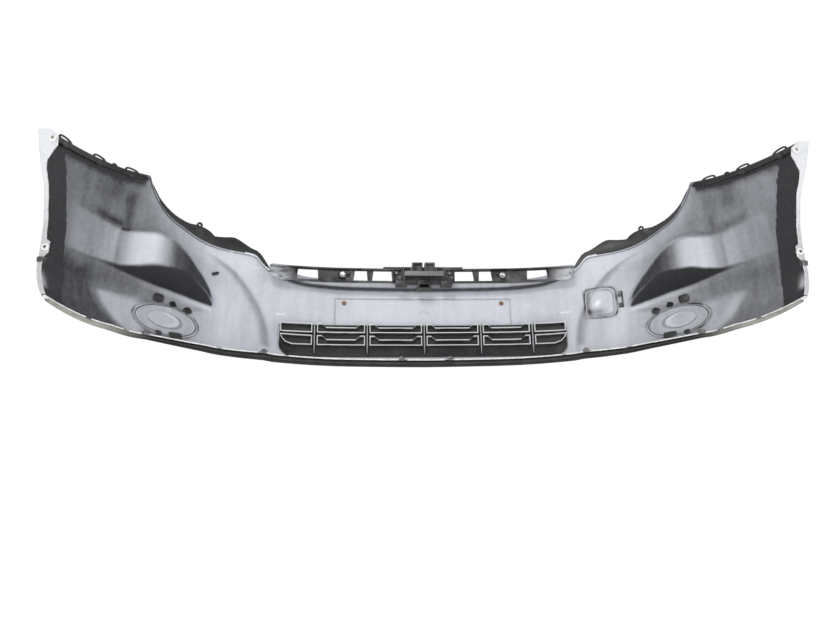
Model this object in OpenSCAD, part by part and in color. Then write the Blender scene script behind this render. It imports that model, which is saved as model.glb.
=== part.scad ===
// Front bumper cover of a passenger car: painted cover moulding with its
// lower grille, bridge bar, headlamp brackets, fender retainers, blanking
// covers, chin strip and fixings.
// +X to the car's side (right when seen from inside the cover), +Y to the
// front of the car, +Z up. The origin is the middle of the two upper M6 holes.

/* [Cover] */
// Half width of the plan curve at the wheel arch tips
half_w = 892; // [860:1:920]
// Wall thickness of the painted cover
skin_t = 3; // [2.5:0.1:4]
// Depth of the ledge that closes the upper grille opening
ledge_d = 28; // [20:1:34]
// Height of the upstand behind that ledge
upstand_h = 20; // [12:1:26]
// Depth of the return flange along the bottom edge
bottom_flange = 50; // [30:1:60]
// Inward depth of the recess above each fog lamp position
pocket_depth = 66; // [40:1:72]
// Width of the number plate recess
plate_w = 524; // [520:1:540]
// Depth of the number plate recess
plate_d = 4; // [2:0.5:6]

/* [Lower grille] */
// Width of the lower grille opening
grille_w = 844; // [800:1:850]
// Height of the lower grille opening at its middle
grille_h = 96; // [88:1:100]
// Thickness of the upright bars
grille_bar = 7; // [5:0.5:9]
// Thickness of the horizontal rails
grille_rail = 4; // [3:0.5:6]
// Cell pitch of the honeycomb blade
mesh_pitch = 9; // [7:0.5:12]

/* [Bridge bar] */
// Height of the bridge bar
bar_h = 42; // [38:1:44]
// Wall of the bridge bar
bar_t = 4; // [3:0.5:5]
// Spacing of the two upper M6 holes
m6_spacing = 160; // [140:1:180]
// Radius of the upper M6 clearance holes
m6_r = 3.3; // [3.2:0.05:3.6]

/* [Fixings] */
// Hole radius of the arch grommets
arch_r = 2.75; // [2.4:0.05:3.2]
// Hole radius of the headlamp lugs
lug_r = 3.3; // [3:0.05:3.6]
// Spacing of the number plate screws
plate_spacing = 470; // [460:1:480]
// Hole radius of the number plate inserts
plate_r = 2.4; // [2:0.05:2.8]
// Hole radius of the undertray U-nuts
unut_r = 2.65; // [2.4:0.05:3]

/* [Blanking covers] */
// Half length of the fog lamp blanking cover
fog_a = 84; // [76:1:88]
// Half height of the fog lamp blanking cover
fog_b = 44; // [40:1:46]
// Gap round each blanking cover
fit = 2.5; // [2.2:0.1:3.5]
// Side of the towing eye cover
tow_w = 86; // [78:1:90]

/* [Hidden] */
OX = 0; OY = -70; OZ = 300;            // origin in the car-side sketch frame

// ---- plan curve of the cover, right half, seen from above ----
kx = half_w / 892;
PP = [[-130,-40],[0,-38],[130,-40],[262,-46],[371,-60],[440,-78],[500,-100],
  [554,-125],[600,-151],[650,-186],[705,-229],[757,-274],[800,-324],
  [835,-383],[862,-450],[880,-515],[892,-580],[900,-645],[906,-710]];
function cr(p0,p1,p2,p3,f) = 0.5*(2*p1 + (p2-p0)*f + (2*p0-5*p1+4*p2-p3)*f*f
  + (3*p1-p0-3*p2+p3)*f*f*f);
DN = 10;
HP = [for (i=[1:len(PP)-3]) for (k=[0:DN-1])
  let (q = cr(PP[i-1],PP[i],PP[i+1],PP[i+2],k/DN)) [q[0]*kx, q[1]]];
CUM = [for (i=0, a=0; i<len(HP); a = a + (i+1<len(HP) ? norm(HP[i+1]-HP[i]) : 0), i=i+1) a];
TX = [for (i=[0:len(HP)-1]) [CUM[i], HP[i][0]]];
TY = [for (i=[0:len(HP)-1]) [CUM[i], HP[i][1]]];
TS = [for (i=[0:len(HP)-1]) [HP[i][0], CUM[i]]];
TB = [for (i=[0:len(HP)-1]) [-HP[i][1], CUM[i]]];
function sgn(v) = v < 0 ? -1 : 1;
function plx(s) = sgn(s)*lookup(abs(s), TX);
function ply(s) = lookup(abs(s), TY);
function sx(x) = sgn(x)*lookup(abs(x), TS);
function sy(y) = lookup(-y, TB);
function tang(s) = let (a=[plx(s-6),ply(s-6)], b=[plx(s+6),ply(s+6)]) (b-a)/norm(b-a);
function nrm(s) = let (t=tang(s)) [-t[1], t[0]];
function at(s,d,z) = let (n=nrm(s)) [plx(s)+n[0]*d, ply(s)+n[1]*d, z];
function cl(v) = min(1, max(0, v));
function ss(v) = let (t=cl(v)) t*t*(3-2*t);
// smooth table: Catmull-Rom through [x, y] rows, then looked up
function dense(t) = [for (i=[0:len(t)-2]) for (k=[0:5])
  cr(t[max(0,i-1)],t[i],t[i+1],t[min(len(t)-1,i+2)],k/6)];
function dn(t) = concat(dense(t), [t[len(t)-1]]);

// ---- edge lines, by plan X ----
S0 = sx(800*kx);
ZTOP = dn([[0,252],[200,254],[290,258],[360,265],[410,280],[450,297],[472,316],
  [492,338],[520,344],[569,347],[604,352],[638,364],[671,383],[704,405],
  [725,430],[743,460],[757,494]]);
ZBOT = dn([[0,19],[250,22],[400,28],[500,34],[600,41],[700,51],[760,57],[800,64]]);
function ztop_s(s) = let (x=abs(plx(s))/kx) x <= 757 ? lookup(x, ZTOP)
  : 494 - 0.13*(abs(s)-sx(757*kx));
function ztop(q) = abs(q) <= 1 ? ztop_s(q*S0) : ztop_s(S0) + (457-ztop_s(S0))*(abs(q)-1);
function zbot(q) = abs(q) <= 1 ? lookup(abs(plx(q*S0))/kx, ZBOT) : 64 + 28*pow(abs(q)-1, 1.5);
ARCH = dn([[60,-512],[88,-494],[111,-486],[140,-478],[180,-474],[217,-474],[254,-478],
  [290,-485],[350,-507],[391,-535],[417,-553],[457,-580]]);
function s_end(z) = sy(lookup(z, ARCH));
function qs(q,z) = abs(q) <= 1 ? q*S0 : sgn(q)*(S0 + (abs(q)-1)*(s_end(z)-S0));
ARCHW = [[60,12],[130,14],[170,13],[196,15],[204,25],[230,25],[238,14],[300,12],
  [380,13],[398,17],[412,32],[424,46],[440,48],[458,24]];

// ---- section of the cover: offset along the outward plan normal ----
CROWN = dn([[0,20],[300,20],[500,24],[620,30],[757,36],[835,42],[900,46]]);
C0 = dn([[0,20],[300,18],[500,12],[620,6],[757,0],[900,0]]);
PKD = dn([[583,0],[605,28],[625,44],[655,60],[680,66],[705,64],[735,54],[757,34],
  [775,18],[789,10],[848,0]]);
PKL = dn([[583,174],[668,200],[732,216],[789,235],[824,240],[860,246]]);
PKT = dn([[583,180],[601,212],[625,243],[644,262],[668,288],[686,306],[705,320],
  [743,333],[789,334],[846,354]]);
GRV = dn([[60,456],[142,467],[210,497],[272,540],[307,581],[330,622],[345,650]]);
FPB = dn([[50,752],[64,762],[95,787],[134,804],[164,811]]);
function crown(x,z,zb) = let (g = z >= 185 ? 1-pow(min(1.15,(z-185)/270),1.6)
    : 1-pow(min(1.1,(185-z)/max(40,185-zb)),2))
  lookup(x,CROWN)*g - lookup(x,C0);
function pocket(x,z) = (x<584 || x>847) ? 0 :
  let (d = lookup(x,PKD)*pocket_depth/66, lo = lookup(x,PKL), hi = lookup(x,PKT))
  -d*cl((z-lo)/(0.62*d+2))*(1-ss((z-hi)/(14+0.45*d)));
function groove(x,z) = let (e = x-lookup(z,GRV))
  -9*(e<0 ? exp(-e*e/90) : exp(-e*e/2600))*(1-ss((z-300)/50));
function fogpan(x,z) = -9*ss((lookup(z,FPB)-x)/24)*ss((172-z)/22)*ss((x-570)/60);
function plate(x,z) = -plate_d*ss((plate_w/2+3-x)/6)*ss((z-118)/6)*ss((228-z)/6);
function D(s,z,zb) = let (x = abs(plx(s))/kx)
  crown(x,z,zb) + pocket(x,z) + groove(x,z) + fogpan(x,z) + plate(x,z);

// ---- openings: signed distance in (s, z), negative inside ----
gzc = 94; SF = sx(689*kx); ZF = 114; FT = 8; ST = sx(518*kx); ZT = 198;
function rbox(u,v,a,b,r) = let (p=[abs(u)-a+r, abs(v)-b+r])
  norm([max(p[0],0),max(p[1],0)]) + min(max(p[0],p[1]),0) - r;
function h_grille(s,z) = rbox(s, z-gzc, grille_w/2, grille_h/2, z<gzc ? 44 : 8);
function fog_uv(s,z) = let (u=abs(s)-SF, v=z-ZF) [u*cos(FT)+v*sin(FT), -u*sin(FT)+v*cos(FT)];
function h_fog(s,z) = let (p=fog_uv(s,z), k=norm([p[0]/(fog_a+fit),p[1]/(fog_b+fit)]))
  (k-1)*norm(p)/max(k,0.05);
function h_tow(s,z) = rbox(s-ST, z-ZT, tow_w/2+fit, tow_w/2+fit, 14);
function hole(s,z) = min(h_grille(s,z), h_fog(s,z), h_tow(s,z));
function snap(p,k) = k==0 ? p : let (s=p[0], z=p[1], h=hole(s,z), e=0.5,
    g=[(hole(s+e,z)-hole(s-e,z)), (hole(s,z+e)-hole(s,z-e))], n=max(norm(g),1e-6))
  snap([s-g[0]/n*h, z-g[1]/n*h], k-1);

// ---- grid of the painted cover ----
QA = [for (i=[0:43]) i/44];
QB = [for (i=[0:12]) 1+i/12];
QH = concat(QA, QB);
Q = concat([for (i=[len(QH)-1:-1:1]) -QH[i]], QH);
NC = len(Q);
NR = 19;
function fr(j) = j/(NR-1);
// rows 2 and 9 lie on the lower and upper edge of the grille opening near the middle
JA = 2; JB = 9;
function rowz(q,j) = let (zb=zbot(q), zt=ztop(q), w=ss((abs(q)*S0-grille_w/2-8)/150),
    za=(gzc-grille_h/2)*(1-w)+(zb+(zt-zb)*fr(JA))*w, zc=(gzc+grille_h/2)*(1-w)+(zb+(zt-zb)*fr(JB))*w)
  j<=JA ? zb+(za-zb)*j/JA : j<=JB ? za+(zc-za)*(j-JA)/(JB-JA) : zc+(zt-zc)*(j-JB)/(NR-1-JB);
function gp(i,j) = let (q=Q[i], z=rowz(q,j)) [qs(q,z), z];
RAW = [for (j=[0:NR-1]) [for (i=[0:NC-1]) gp(i,j)]];
// a wall cell is kept where its middle is outside every opening, and the
// corners shared by kept and open cells move onto the opening's outline
KEEP = [for (j=[0:NR-2]) [for (i=[0:NC-2])
  let (m=(RAW[j][i]+RAW[j][i+1]+RAW[j+1][i]+RAW[j+1][i+1])/4) hole(m[0],m[1]) > 0 ? 1 : 0]];
function edgepoint(i,j) = (i<1 || j<1 || i>NC-2 || j>NR-2) ? false
  : let (k=KEEP[j][i]+KEEP[j-1][i]+KEEP[j][i-1]+KEEP[j-1][i-1]) k>0 && k<4;
EP = [for (j=[0:NR-1]) [for (i=[0:NC-1]) edgepoint(i,j)]];
SN = [for (j=[0:NR-1]) [for (i=[0:NC-1]) EP[j][i] ? snap(RAW[j][i],3) : RAW[j][i]]];
HA = [for (j=[0:NR-1]) [for (i=[0:NC-1]) EP[j][i] ? abs(hole(RAW[j][i][0],RAW[j][i][1])) : 0]];
function clash(i,j,a,b) = EP[b][a] && norm(SN[j][i]-SN[b][a]) < 4
  && (HA[j][i] > HA[b][a] || (HA[j][i] == HA[b][a] && (a<i || b<j)));
function mine(i,j) = EP[j][i] && !(clash(i,j,i-1,j) || clash(i,j,i+1,j) || clash(i,j,i,j-1) || clash(i,j,i,j+1));
G = [for (j=[0:NR-1]) [for (i=[0:NC-1]) mine(i,j) ? SN[j][i] : RAW[j][i]]];
function LD(q) = let (x=abs(plx(abs(q)*S0))/kx) x<380 ? ledge_d : 5+(ledge_d-5)*(1-ss((x-380)/100));
function UH(q) = let (x=abs(plx(abs(q)*S0))/kx) x<400 ? upstand_h : 4+(upstand_h-4)*(1-ss((x-400)/70));
function WF(q) = abs(q)<=1 ? bottom_flange-(bottom_flange-26)*ss((abs(q)-0.45)/0.55)
  : 26-14*cl(abs(q)-1);
function RI(q) = WF(q)*0.17;
// outer and inner skin points, rows: -1 flange, 0..NR-1 wall, NR ledge, NR+1 upstand
function dd(i,j) = let (g=G[j][i]) D(g[0],g[1],zbot(Q[i]));
function po(i,j) = let (t=skin_t) j==-1 ? at(G[0][i][0], dd(i,0)-WF(Q[i]), G[0][i][1]+RI(Q[i]))
  : j<=NR-1 ? at(G[j][i][0], dd(i,j), G[j][i][1])
  : at(G[NR-1][i][0], dd(i,NR-1)-LD(Q[i]), G[NR-1][i][1]+(j==NR?0:UH(Q[i])));
function pn(i,j) = let (t=skin_t) j==-1 ? at(G[0][i][0], dd(i,0)-WF(Q[i]), G[0][i][1]+RI(Q[i])+t)
  : j==0 ? at(G[0][i][0], dd(i,0)-t, G[0][i][1]+t)
  : j<NR-1 ? at(G[j][i][0], dd(i,j)-t, G[j][i][1])
  : j==NR-1 ? at(G[j][i][0], dd(i,j)-t, G[j][i][1]-t)
  : at(G[NR-1][i][0], dd(i,NR-1)-LD(Q[i])-t, G[NR-1][i][1]+(j==NR?-t:UH(Q[i])));
// arch return flange: two more columns, c = 0 at the corner, 1 at its free edge
function ff(sd,j,c,inner) = let (i = sd<0 ? 0 : NC-1, o = po(i,max(j,0)),
    s = G[max(j,0)][i][0], n = nrm(s), t = tang(s)*sd, w = lookup(G[max(j,0)][i][1], ARCHW),
    k = (c==1 ? w : (inner ? skin_t : 0)), f = inner ? skin_t : 0)
  [o[0]-n[0]*k-t[0]*f, o[1]-n[1]*k-t[1]*f, o[2]];
CT = NC+2; RT = NR+3;                  // columns and rows with flanges
function pt(c,r,inner) = let (i=c-1, j=r-1)
  (c==0 || c==CT-1) && j>=0 && j<=NR-1 ? ff(c==0?-1:1, j, 1, inner)
  : (c==0 || c==CT-1) ? pt(c==0?1:CT-2, r, inner)
  : (c==1 || c==CT-2) && inner && j>0 && j<=NR-1 ? ff(c==1?-1:1, j, 0, true)
  : inner ? pn(i,j) : po(i,j);
function cell(c,r) = let (j=r-1, i=c-1)
  (c<0 || r<0 || c>=CT-1 || r>=RT-1) ? false
  : (c==0 || c==CT-2) ? (j>=1 && j<NR-1)
  : (j>=NR-1 && (c<=1 || c>=CT-3)) ? false
  : (j<0 || j>=NR-1) ? true
  : KEEP[j][i]==1;
CELL = [for (c=[0:CT-2]) [for (r=[0:RT-2]) cell(c,r)]];
function has(c,r,a,b) = (c<a || r<0 || c>b-1 || r>RT-2) ? false : CELL[c][r];
// one stretch of the cover, from column a up to column b
function ix(c,r,l,a,b) = l*(b-a+1)*RT + (c-a)*RT + r;
function sk_p(a,b) = concat([for (c=[a:b]) for (r=[0:RT-1]) pt(c,r,false)],
  [for (c=[a:b]) for (r=[0:RT-1]) pt(c,r,true)]);
function sk_f(a,b) = [for (c=[a:b-1]) for (r=[0:RT-2]) if (CELL[c][r])
  let (p=ix(c,r,0,a,b), q=ix(c,r+1,0,a,b), u=ix(c+1,r+1,0,a,b), v=ix(c+1,r,0,a,b),
       P=ix(c,r,1,a,b), Q_=ix(c,r+1,1,a,b), U=ix(c+1,r+1,1,a,b), V=ix(c+1,r,1,a,b)) each concat(
    [[p,u,q], [p,v,u], [P,Q_,U], [P,U,V]],
    has(c-1,r,a,b) ? [] : [[p,Q_,P],[p,q,Q_]],
    has(c+1,r,a,b) ? [] : [[v,V,U],[v,U,u]],
    has(c,r-1,a,b) ? [] : [[p,P,V],[p,V,v]],
    has(c,r+1,a,b) ? [] : [[q,U,Q_],[q,u,U]])];
module stretch(a,b) polyhedron(sk_p(a,b), sk_f(a,b), 4);

module org() translate([-OX,-OY,-OZ]) children();
module both() { children(); mirror([1,0,0]) children(); }

// The moulding is drawn as seven touching stretches: the centre, then an inner, a side and an
// arch stretch on each side.
module cover_centre() color([0.78,0.79,0.82]) org() difference() {
  stretch(44,70);
  for (m=[-1,1]) translate([m*plate_spacing/2,0,211]) rotate([90,0,0]) cylinder(90,r=4.2,$fn=48); }
module cover_inner_left() color([0.78,0.79,0.82]) org() stretch(35,44);
module cover_inner_right() color([0.78,0.79,0.82]) org() stretch(70,79);
module cover_side_left() color([0.78,0.79,0.82]) org() stretch(13,35);
module cover_side_right() color([0.78,0.79,0.82]) org() stretch(79,101);
module arch_holes() for (g=AG) translate(archpt(g[0],g[1])) rotate([0,0,10]) rotate([90,0,0])
  translate([0,0,-14]) cylinder(28,r=5.2,$fn=48);
module cover_arch_left() color([0.78,0.79,0.82]) org() difference() { stretch(0,13); mirror([1,0,0]) arch_holes(); }
module cover_arch_right() color([0.78,0.79,0.82]) org() difference() { stretch(101,114); arch_holes(); }

// ---- helpers ----
// closed sweep through equal rings of points, with flat end caps
module sweep(R) { n=len(R[0]); m=len(R);
  polyhedron([for (r=R) each r], concat(
    [[for (k=[0:n-1]) k]], [[for (k=[n-1:-1:0]) (m-1)*n+k]],
    [for (i=[0:m-2]) for (k=[0:n-1]) let (a=i*n+k, b=i*n+(k+1)%n)
      each [[a,a+n,b+n],[a,b+n,b]]]), 4); }
// wall that follows the plan curve between two heights
module band(s0,s1,d0,d1,z0,z1,n=24) translate([0,0,z0]) linear_extrude(z1-z0) polygon(concat(
  [for (k=[0:n]) let (p=at(s0+(s1-s0)*k/n,d0,0)) [p[0],p[1]]],
  [for (k=[n:-1:0]) let (p=at(s0+(s1-s0)*k/n,d1,0)) [p[0],p[1]]]));
// straight extrusion of a front view drawing, from y1 back to y0
module front(y0,y1) translate([0,y1,0]) rotate([90,0,0]) linear_extrude(y1-y0) children();
// stands a child drawn along +Z onto the plan normal at s, pointing inward
module on(s,d,z,yaw) let (p=at(s,d,z)) translate(p) rotate([0,0,-yaw]) rotate([90,0,0]) children();

// ---- chin strip under the bottom flange ----
function chin(q) = let (s=qs(q,zbot(q)), zb=zbot(q), d0=D(s,zb,zb), s1=qs(q,zb+16),
    d1=D(s1,zb+16,zb), w=WF(q)-4, r=RI(q)*w/WF(q))
  [at(s1,d1+0.3,zb+16), at(s1,d1+3.1,zb+15), at(s,d0+3.3,zb-3.4), at(s,d0-w,zb-3.4+r),
   at(s,d0-w,zb-0.4+r), at(s,d0+0.3,zb-0.4)];
CQ = [for (k=[-46:46]) let (u=k/46) abs(u)<0.62 ? u/0.62 : sgn(u)*(1+(abs(u)-0.62)/0.38*0.9)];
module chin_strip() color([0.09,0.09,0.1]) org() sweep([for (q=CQ) let (r=chin(q)) [for (k=[5:-1:0]) r[k]]]);

// ---- lower grille ----
GT = gzc+grille_h/2; GB = gzc-grille_h/2; GX = plx(grille_w/2);
UP = [-GX, -317, -166, 0, 166, 317, GX];
module opening(e) { w=GX-e; t=GT-e; b=GB+e; r=44-e; q=8-e;
  translate([-w,b+r]) square([2*w,t-b-r-q]);
  translate([-w+r,b]) square([2*(w-r),r]);
  translate([-w+q,t-q]) square([2*(w-q),q]);
  for (m=[-1,1]) { translate([m*(w-r),b+r]) circle(r,$fn=48);
    translate([m*(w-q),t-q]) circle(q,$fn=32); } }
// upper and lower cell outlines, grown by g
module cell_a(i,g) { h=grille_bar+2.2; a=UP[i]+h-g; b=UP[i+1]-h+g; n = (i>0 && i<5);
  polygon(n ? [[a,119-g],[b,119-g],[b,141+g],[b-13,141+g],[b-24,131+g],[a+24,131+g],[a+13,141+g],[a,141+g]]
    : [[a,119-g],[b,119-g],[b,141+g],[a,141+g]]); }
module cell_b(i,g) { h=grille_bar+2.2; a=UP[i]+h-g; b=UP[i+1]-h+g; n = (i>0 && i<5);
  polygon(n ? [[a,82-g],[b,82-g],[b,106+g],[b-13,106+g],[b-25,95+g],[a+25,95+g],[a+13,106+g],[a,106+g]]
    : i==0 ? [[a,108+g],[a+4,98],[a+14,88-g/2],[a+32,82-g],[b,82-g],[b,106+g]]
    : [[a,82-g],[b-32,82-g],[b-14,88-g/2],[b-4,98],[b,108+g],[a,106+g]]); }
module cells(g) for (i=[0:5]) { cell_a(i,g); cell_b(i,g); }
module lower_grille() color([0.45,0.46,0.48]) org() {
  SG = grille_w/2;
  for (d=[-6,-11]) intersection() {              // front and rear webs, open at the cells
    front(-140,0) difference() { intersection() { opening(1.2);
      translate([-GX,78]) square([2*GX,80]); } cells(0); }
    band(-SG,SG,d-2.2,d,70,150,48); }
  intersection() {                               // deep walls round each cell
    front(-140,0) difference() { cells(2.2); cells(0); }
    band(-SG,SG,-26,-11,70,150,48); }
  intersection() {                               // apron below the cells
    front(-140,0) intersection() { opening(1.2); translate([-GX,40]) square([2*GX,40.5]); }
    band(-SG,SG,-15,-12,40,90,48); }
  intersection() {                               // rim wall along the opening
    front(-140,0) difference() { opening(1.2); opening(3.4); }
    band(-SG,SG,-17,-6,40,150,48); }
  for (x=[-317,-166,0,166,317]) let (s=sx(x))    // tapered fin behind each upright
    intersection() { front(-140,0) polygon([[x-1.4,141],[x+1.4,141],[x+1.4,78],[x+0.5,54],[x-0.5,54],[x-1.4,78]]);
      band(s-12,s+12,-28,-13,50,142,2); }
}
// closed honeycomb plate held between the two webs
module grille_backing() color([0.05,0.05,0.055]) org() intersection() {
  front(-140,0) opening(3.8); band(-grille_w/2,grille_w/2,-10.7,-8.5,82.5,150,48); }

// ---- bridge bar ----
BX = 458; WIN = [[95,150],[168,205],[312,370]];
BD = -ledge_d-skin_t-0.3;
module window(a,b) polygon([[a,304],[b-2,304],[b+2,274],[a-2,274]]);
module bridge_bar() color([0.07,0.07,0.075]) org() {
  difference() {
    intersection() {
      union() {
        band(-sx(BX),sx(BX),BD-bar_t,BD,268,268+bar_h,40);
        band(-sx(120),sx(120),BD-bar_t,BD,268,276+bar_h,12);
        band(-sx(BX),sx(BX),BD-12,BD,264+bar_h,268+bar_h,40); }
      front(-160,0) polygon([[-BX,282],[-BX+46,262],[BX-46,262],[BX,282],[BX,302],[BX-28,312],[130,310],[112,322],
        [-112,322],[-130,310],[-BX+28,312],[-BX,302]]); }
    both() for (w=WIN) front(-140,0) window(w[0],w[1]);
    for (m=[-1,1]) translate([m*m6_spacing/2,-40,300]) rotate([90,0,0]) cylinder(80,r=m6_r,$fn=48);
    for (m=[-1,1]) translate([m*238,-40,291]) rotate([90,0,0]) cylinder(80,r=3.1,$fn=48); }
  for (m=[-1,1]) {
    translate([m*m6_spacing/2,-65,300]) rotate([90,0,0]) difference() {
      cylinder(13,r=8,$fn=48); translate([0,0,-1]) cylinder(15,r=m6_r,$fn=48); }
    translate([m*238,-70,291]) rotate([90,0,0]) difference() {
      cylinder(12,r=11,$fn=48); translate([0,0,-1]) cylinder(14,r=3.1,$fn=48); } }
}
module bridge_bar_screws() color([0.72,0.72,0.74]) org() for (m=[-1,1])
  translate([m*238,-84,291]) rotate([90,0,0]) { difference() { union() { cylinder(4,r=5,$fn=48);
      cylinder(2.5,r1=6.2,r2=5,$fn=48); }
      translate([0,0,1.6]) cylinder(3,r=2.4,$fn=6); }
    translate([0,0,-20]) cylinder(20,r=2.4,$fn=32); }
module bridge_bar_washers() color([0.5,0.5,0.52]) org() for (m=[-1,1])
  translate([m*238,-82.2,291]) rotate([90,0,0]) difference() { cylinder(1.6,r=9,$fn=48);
    translate([0,0,-1]) cylinder(4,r=2.8,$fn=48); }

// ---- centre clip assembly on the bridge bar ----
module box(x0,x1,y0,y1,z0,z1) translate([x0,y0,z0]) cube([x1-x0,y1-y0,z1-z0]);
module centre_bracket() color([0.08,0.08,0.085]) org() {
  difference() {
    union() { both() { box(3,34,-96,-74.6,290,325); box(34,62,-92,-74.6,290,312); }
      box(-62,62,-92,-74.6,262,292); }
    both() translate([3,-110,325]) rotate([0,45,0]) cube([3,60,3],center=true);
    both() box(8,29,-100,-90,298,319);
    both() box(40,57,-96,-86,296,307); }
  both() for (x=[63,89]) box(x,x+3,-92,-74.6,270,304);
  both() box(62,92,-78,-74.6,270,290);
}
module centre_latch() color([0.42,0.42,0.44]) org() {
  box(-54,54,-112,-92.3,288,291);
  box(-57,57,-115,-112,277,291);
  both() box(54,57,-112,-92.3,279,291);
  for (x=[-40:16:40]) box(x-1,x+1,-112,-92.3,281,288);
}
module centre_clip_feet() color([0.1,0.1,0.105]) org() {
  both() { box(50,84,-100,-74.6,253,266); box(54,84,-96,-74.6,266,269); }
  difference() { box(-20,20,-104,-72,240,258); box(-14,14,-110,-80,244,254); }
  box(-18,18,-98,-92.3,258,270);
}

// ---- headlamp brackets on the cover's upper rim ----
BRT = dn([[450,304],[466,330],[484,354],[506,363],[548,386],[572,383],[604,379],[614,392],
  [640,400],[662,399],[680,405],[697,414],[717,432],[733,454],[745,480],[752,492]]);
BRX = [for (k=[0:30]) 450+302*k/30];
module bracket(lug) { R = [for (x=BRX) let (s=sx(x), lo=lookup(x,ZTOP)+0.4, hi=max(lo+3,lookup(x,BRT)))
    [at(s,-1.8,lo), at(s,-1.8,hi), at(s,-4.6,hi), at(s,-4.6,lo)]];
  difference() { union() { sweep(R); on(sx(638),0,402,36) cylinder(6,r=8,$fn=48); }
    on(sx(638),10,402,36) cylinder(30,r=lug_r,$fn=48); } }
module headlamp_bracket_right() color([0.06,0.06,0.065]) org() bracket();
module headlamp_bracket_left() color([0.06,0.06,0.065]) org() mirror([1,0,0]) bracket();

// ---- fender retainers along the top edge of each wing ----
S1 = sx(757); SE = s_end(457)-26;
function zw(s) = ztop_s(min(s,S0)) + (s>S0 ? (457-ztop_s(S0))*(s-S0)/(s_end(457)-S0) : 0);
function loop(s,l,h) = [for (k=[0:12]) let (a=180*k/12, u=-cos(a)*l/2, v=sin(a)*h)
    let (u2=-cos(a)*(l/2-3.2), v2=sin(a)*(h-3.2), z=zw(s)+4)
    [at(s+u,-12,z+v), at(s+u2,-12,z+v2), at(s+u2,-8.8,z+v2), at(s+u,-8.8,z+v)]];
module retainer() {
  sweep([for (k=[0:18]) let (s=S1+4+(SE-S1-4)*k/18, z=zw(s))
    [at(s,-8.4,z-18), at(s,-8.4,z+5), at(s,-12.4,z+5), at(s,-12.4,z-18)]]);
  for (f=[[0.13,48,14],[0.26,16,8],[0.38,48,14],[0.66,52,14]]) sweep(loop(S1+f[0]*395,f[1],f[2]));
}
module fender_retainer_right() color([0.06,0.06,0.065]) org() retainer();
module fender_retainer_left() color([0.06,0.06,0.065]) org() mirror([1,0,0]) retainer();

// ---- wheel arch fixings ----
AG = [[436,37],[217,17]];
function archpt(z,k) = let (s=s_end(z), n=nrm(s), p=at(s,D(s,z,92),z)) [p[0]-n[0]*k, p[1]-n[1]*k, z];
module arch_grommets() color([0.93,0.92,0.9]) org() both() for (g=AG)
  translate(archpt(g[0],g[1])) rotate([0,0,10]) rotate([90,0,0]) translate([0,0,-7]) difference() {
    union() { cylinder(8.6,r=5.2,$fn=48); translate([0,0,6.6]) cylinder(3,r=8.6,$fn=48); }
    translate([0,0,-1]) cylinder(12,r=arch_r,$fn=48); }
module arch_liner_clips() color([0.2,0.2,0.21]) org() both()
  translate(archpt(188,12)) rotate([0,0,10]) difference() {
    translate([-7,-3.2,-6]) cube([16,8.4,12]); translate([-8,-0.6,-7]) cube([14,4.2,14]); }

// ---- blanking covers ----
function dm(s,z) = let (x=abs(plx(s))/kx) crown(x,z,zbot(s/S0)) + fogpan(x,z);
function disc(s,z) = let (r=norm([s,z])) [s,z];
FA = 36; FR = [0,0.3,0.48,0.52,0.8,0.93,1];
function fz(r,lay) = lay==0 ? -0.6 : (r<0.5 ? -6.6 : r<0.9 ? -3.4 : -3.4);
function fogp(r,k,lay) = let (a=360*k/FA, u=r*(fog_a-1)*cos(a), v=r*(fog_b-1)*sin(a),
    o = r<0.5 ? [14*cl((0.5-r)*20),6*cl((0.5-r)*20)] : [0,0],
    s=SF+(u)*cos(FT)-(v)*sin(FT), z=ZF+(u)*sin(FT)+(v)*cos(FT)) at(s, dm(s,z)+fz(r,lay), z);
FP = concat([for (l=[0,1]) for (r=[1:6]) for (k=[0:FA-1]) fogp(FR[r],k,l)], [fogp(0,0,0), fogp(0,0,1)]);
function fi(l,r,k) = l*6*FA + (r-1)*FA + (k%FA);
FF = [for (k=[0:FA-1]) each concat(
   [for (r=[1:5]) each [[fi(0,r,k),fi(0,r+1,k),fi(0,r+1,k+1)],[fi(0,r,k),fi(0,r+1,k+1),fi(0,r,k+1)],
     [fi(1,r,k),fi(1,r+1,k+1),fi(1,r+1,k)],[fi(1,r,k),fi(1,r,k+1),fi(1,r+1,k+1)]]],
   [[12*FA, fi(0,1,k), fi(0,1,k+1)], [12*FA+1, fi(1,1,k+1), fi(1,1,k)],
    [fi(0,6,k),fi(1,6,k),fi(1,6,k+1)],[fi(0,6,k),fi(1,6,k+1),fi(0,6,k+1)]])];
module fog_cover() polyhedron(FP, FF, 4);
module fog_cover_right() color([0.66,0.67,0.7]) org() fog_cover();
module fog_cover_left() color([0.66,0.67,0.7]) org() mirror([1,0,0]) fog_cover();

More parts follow.
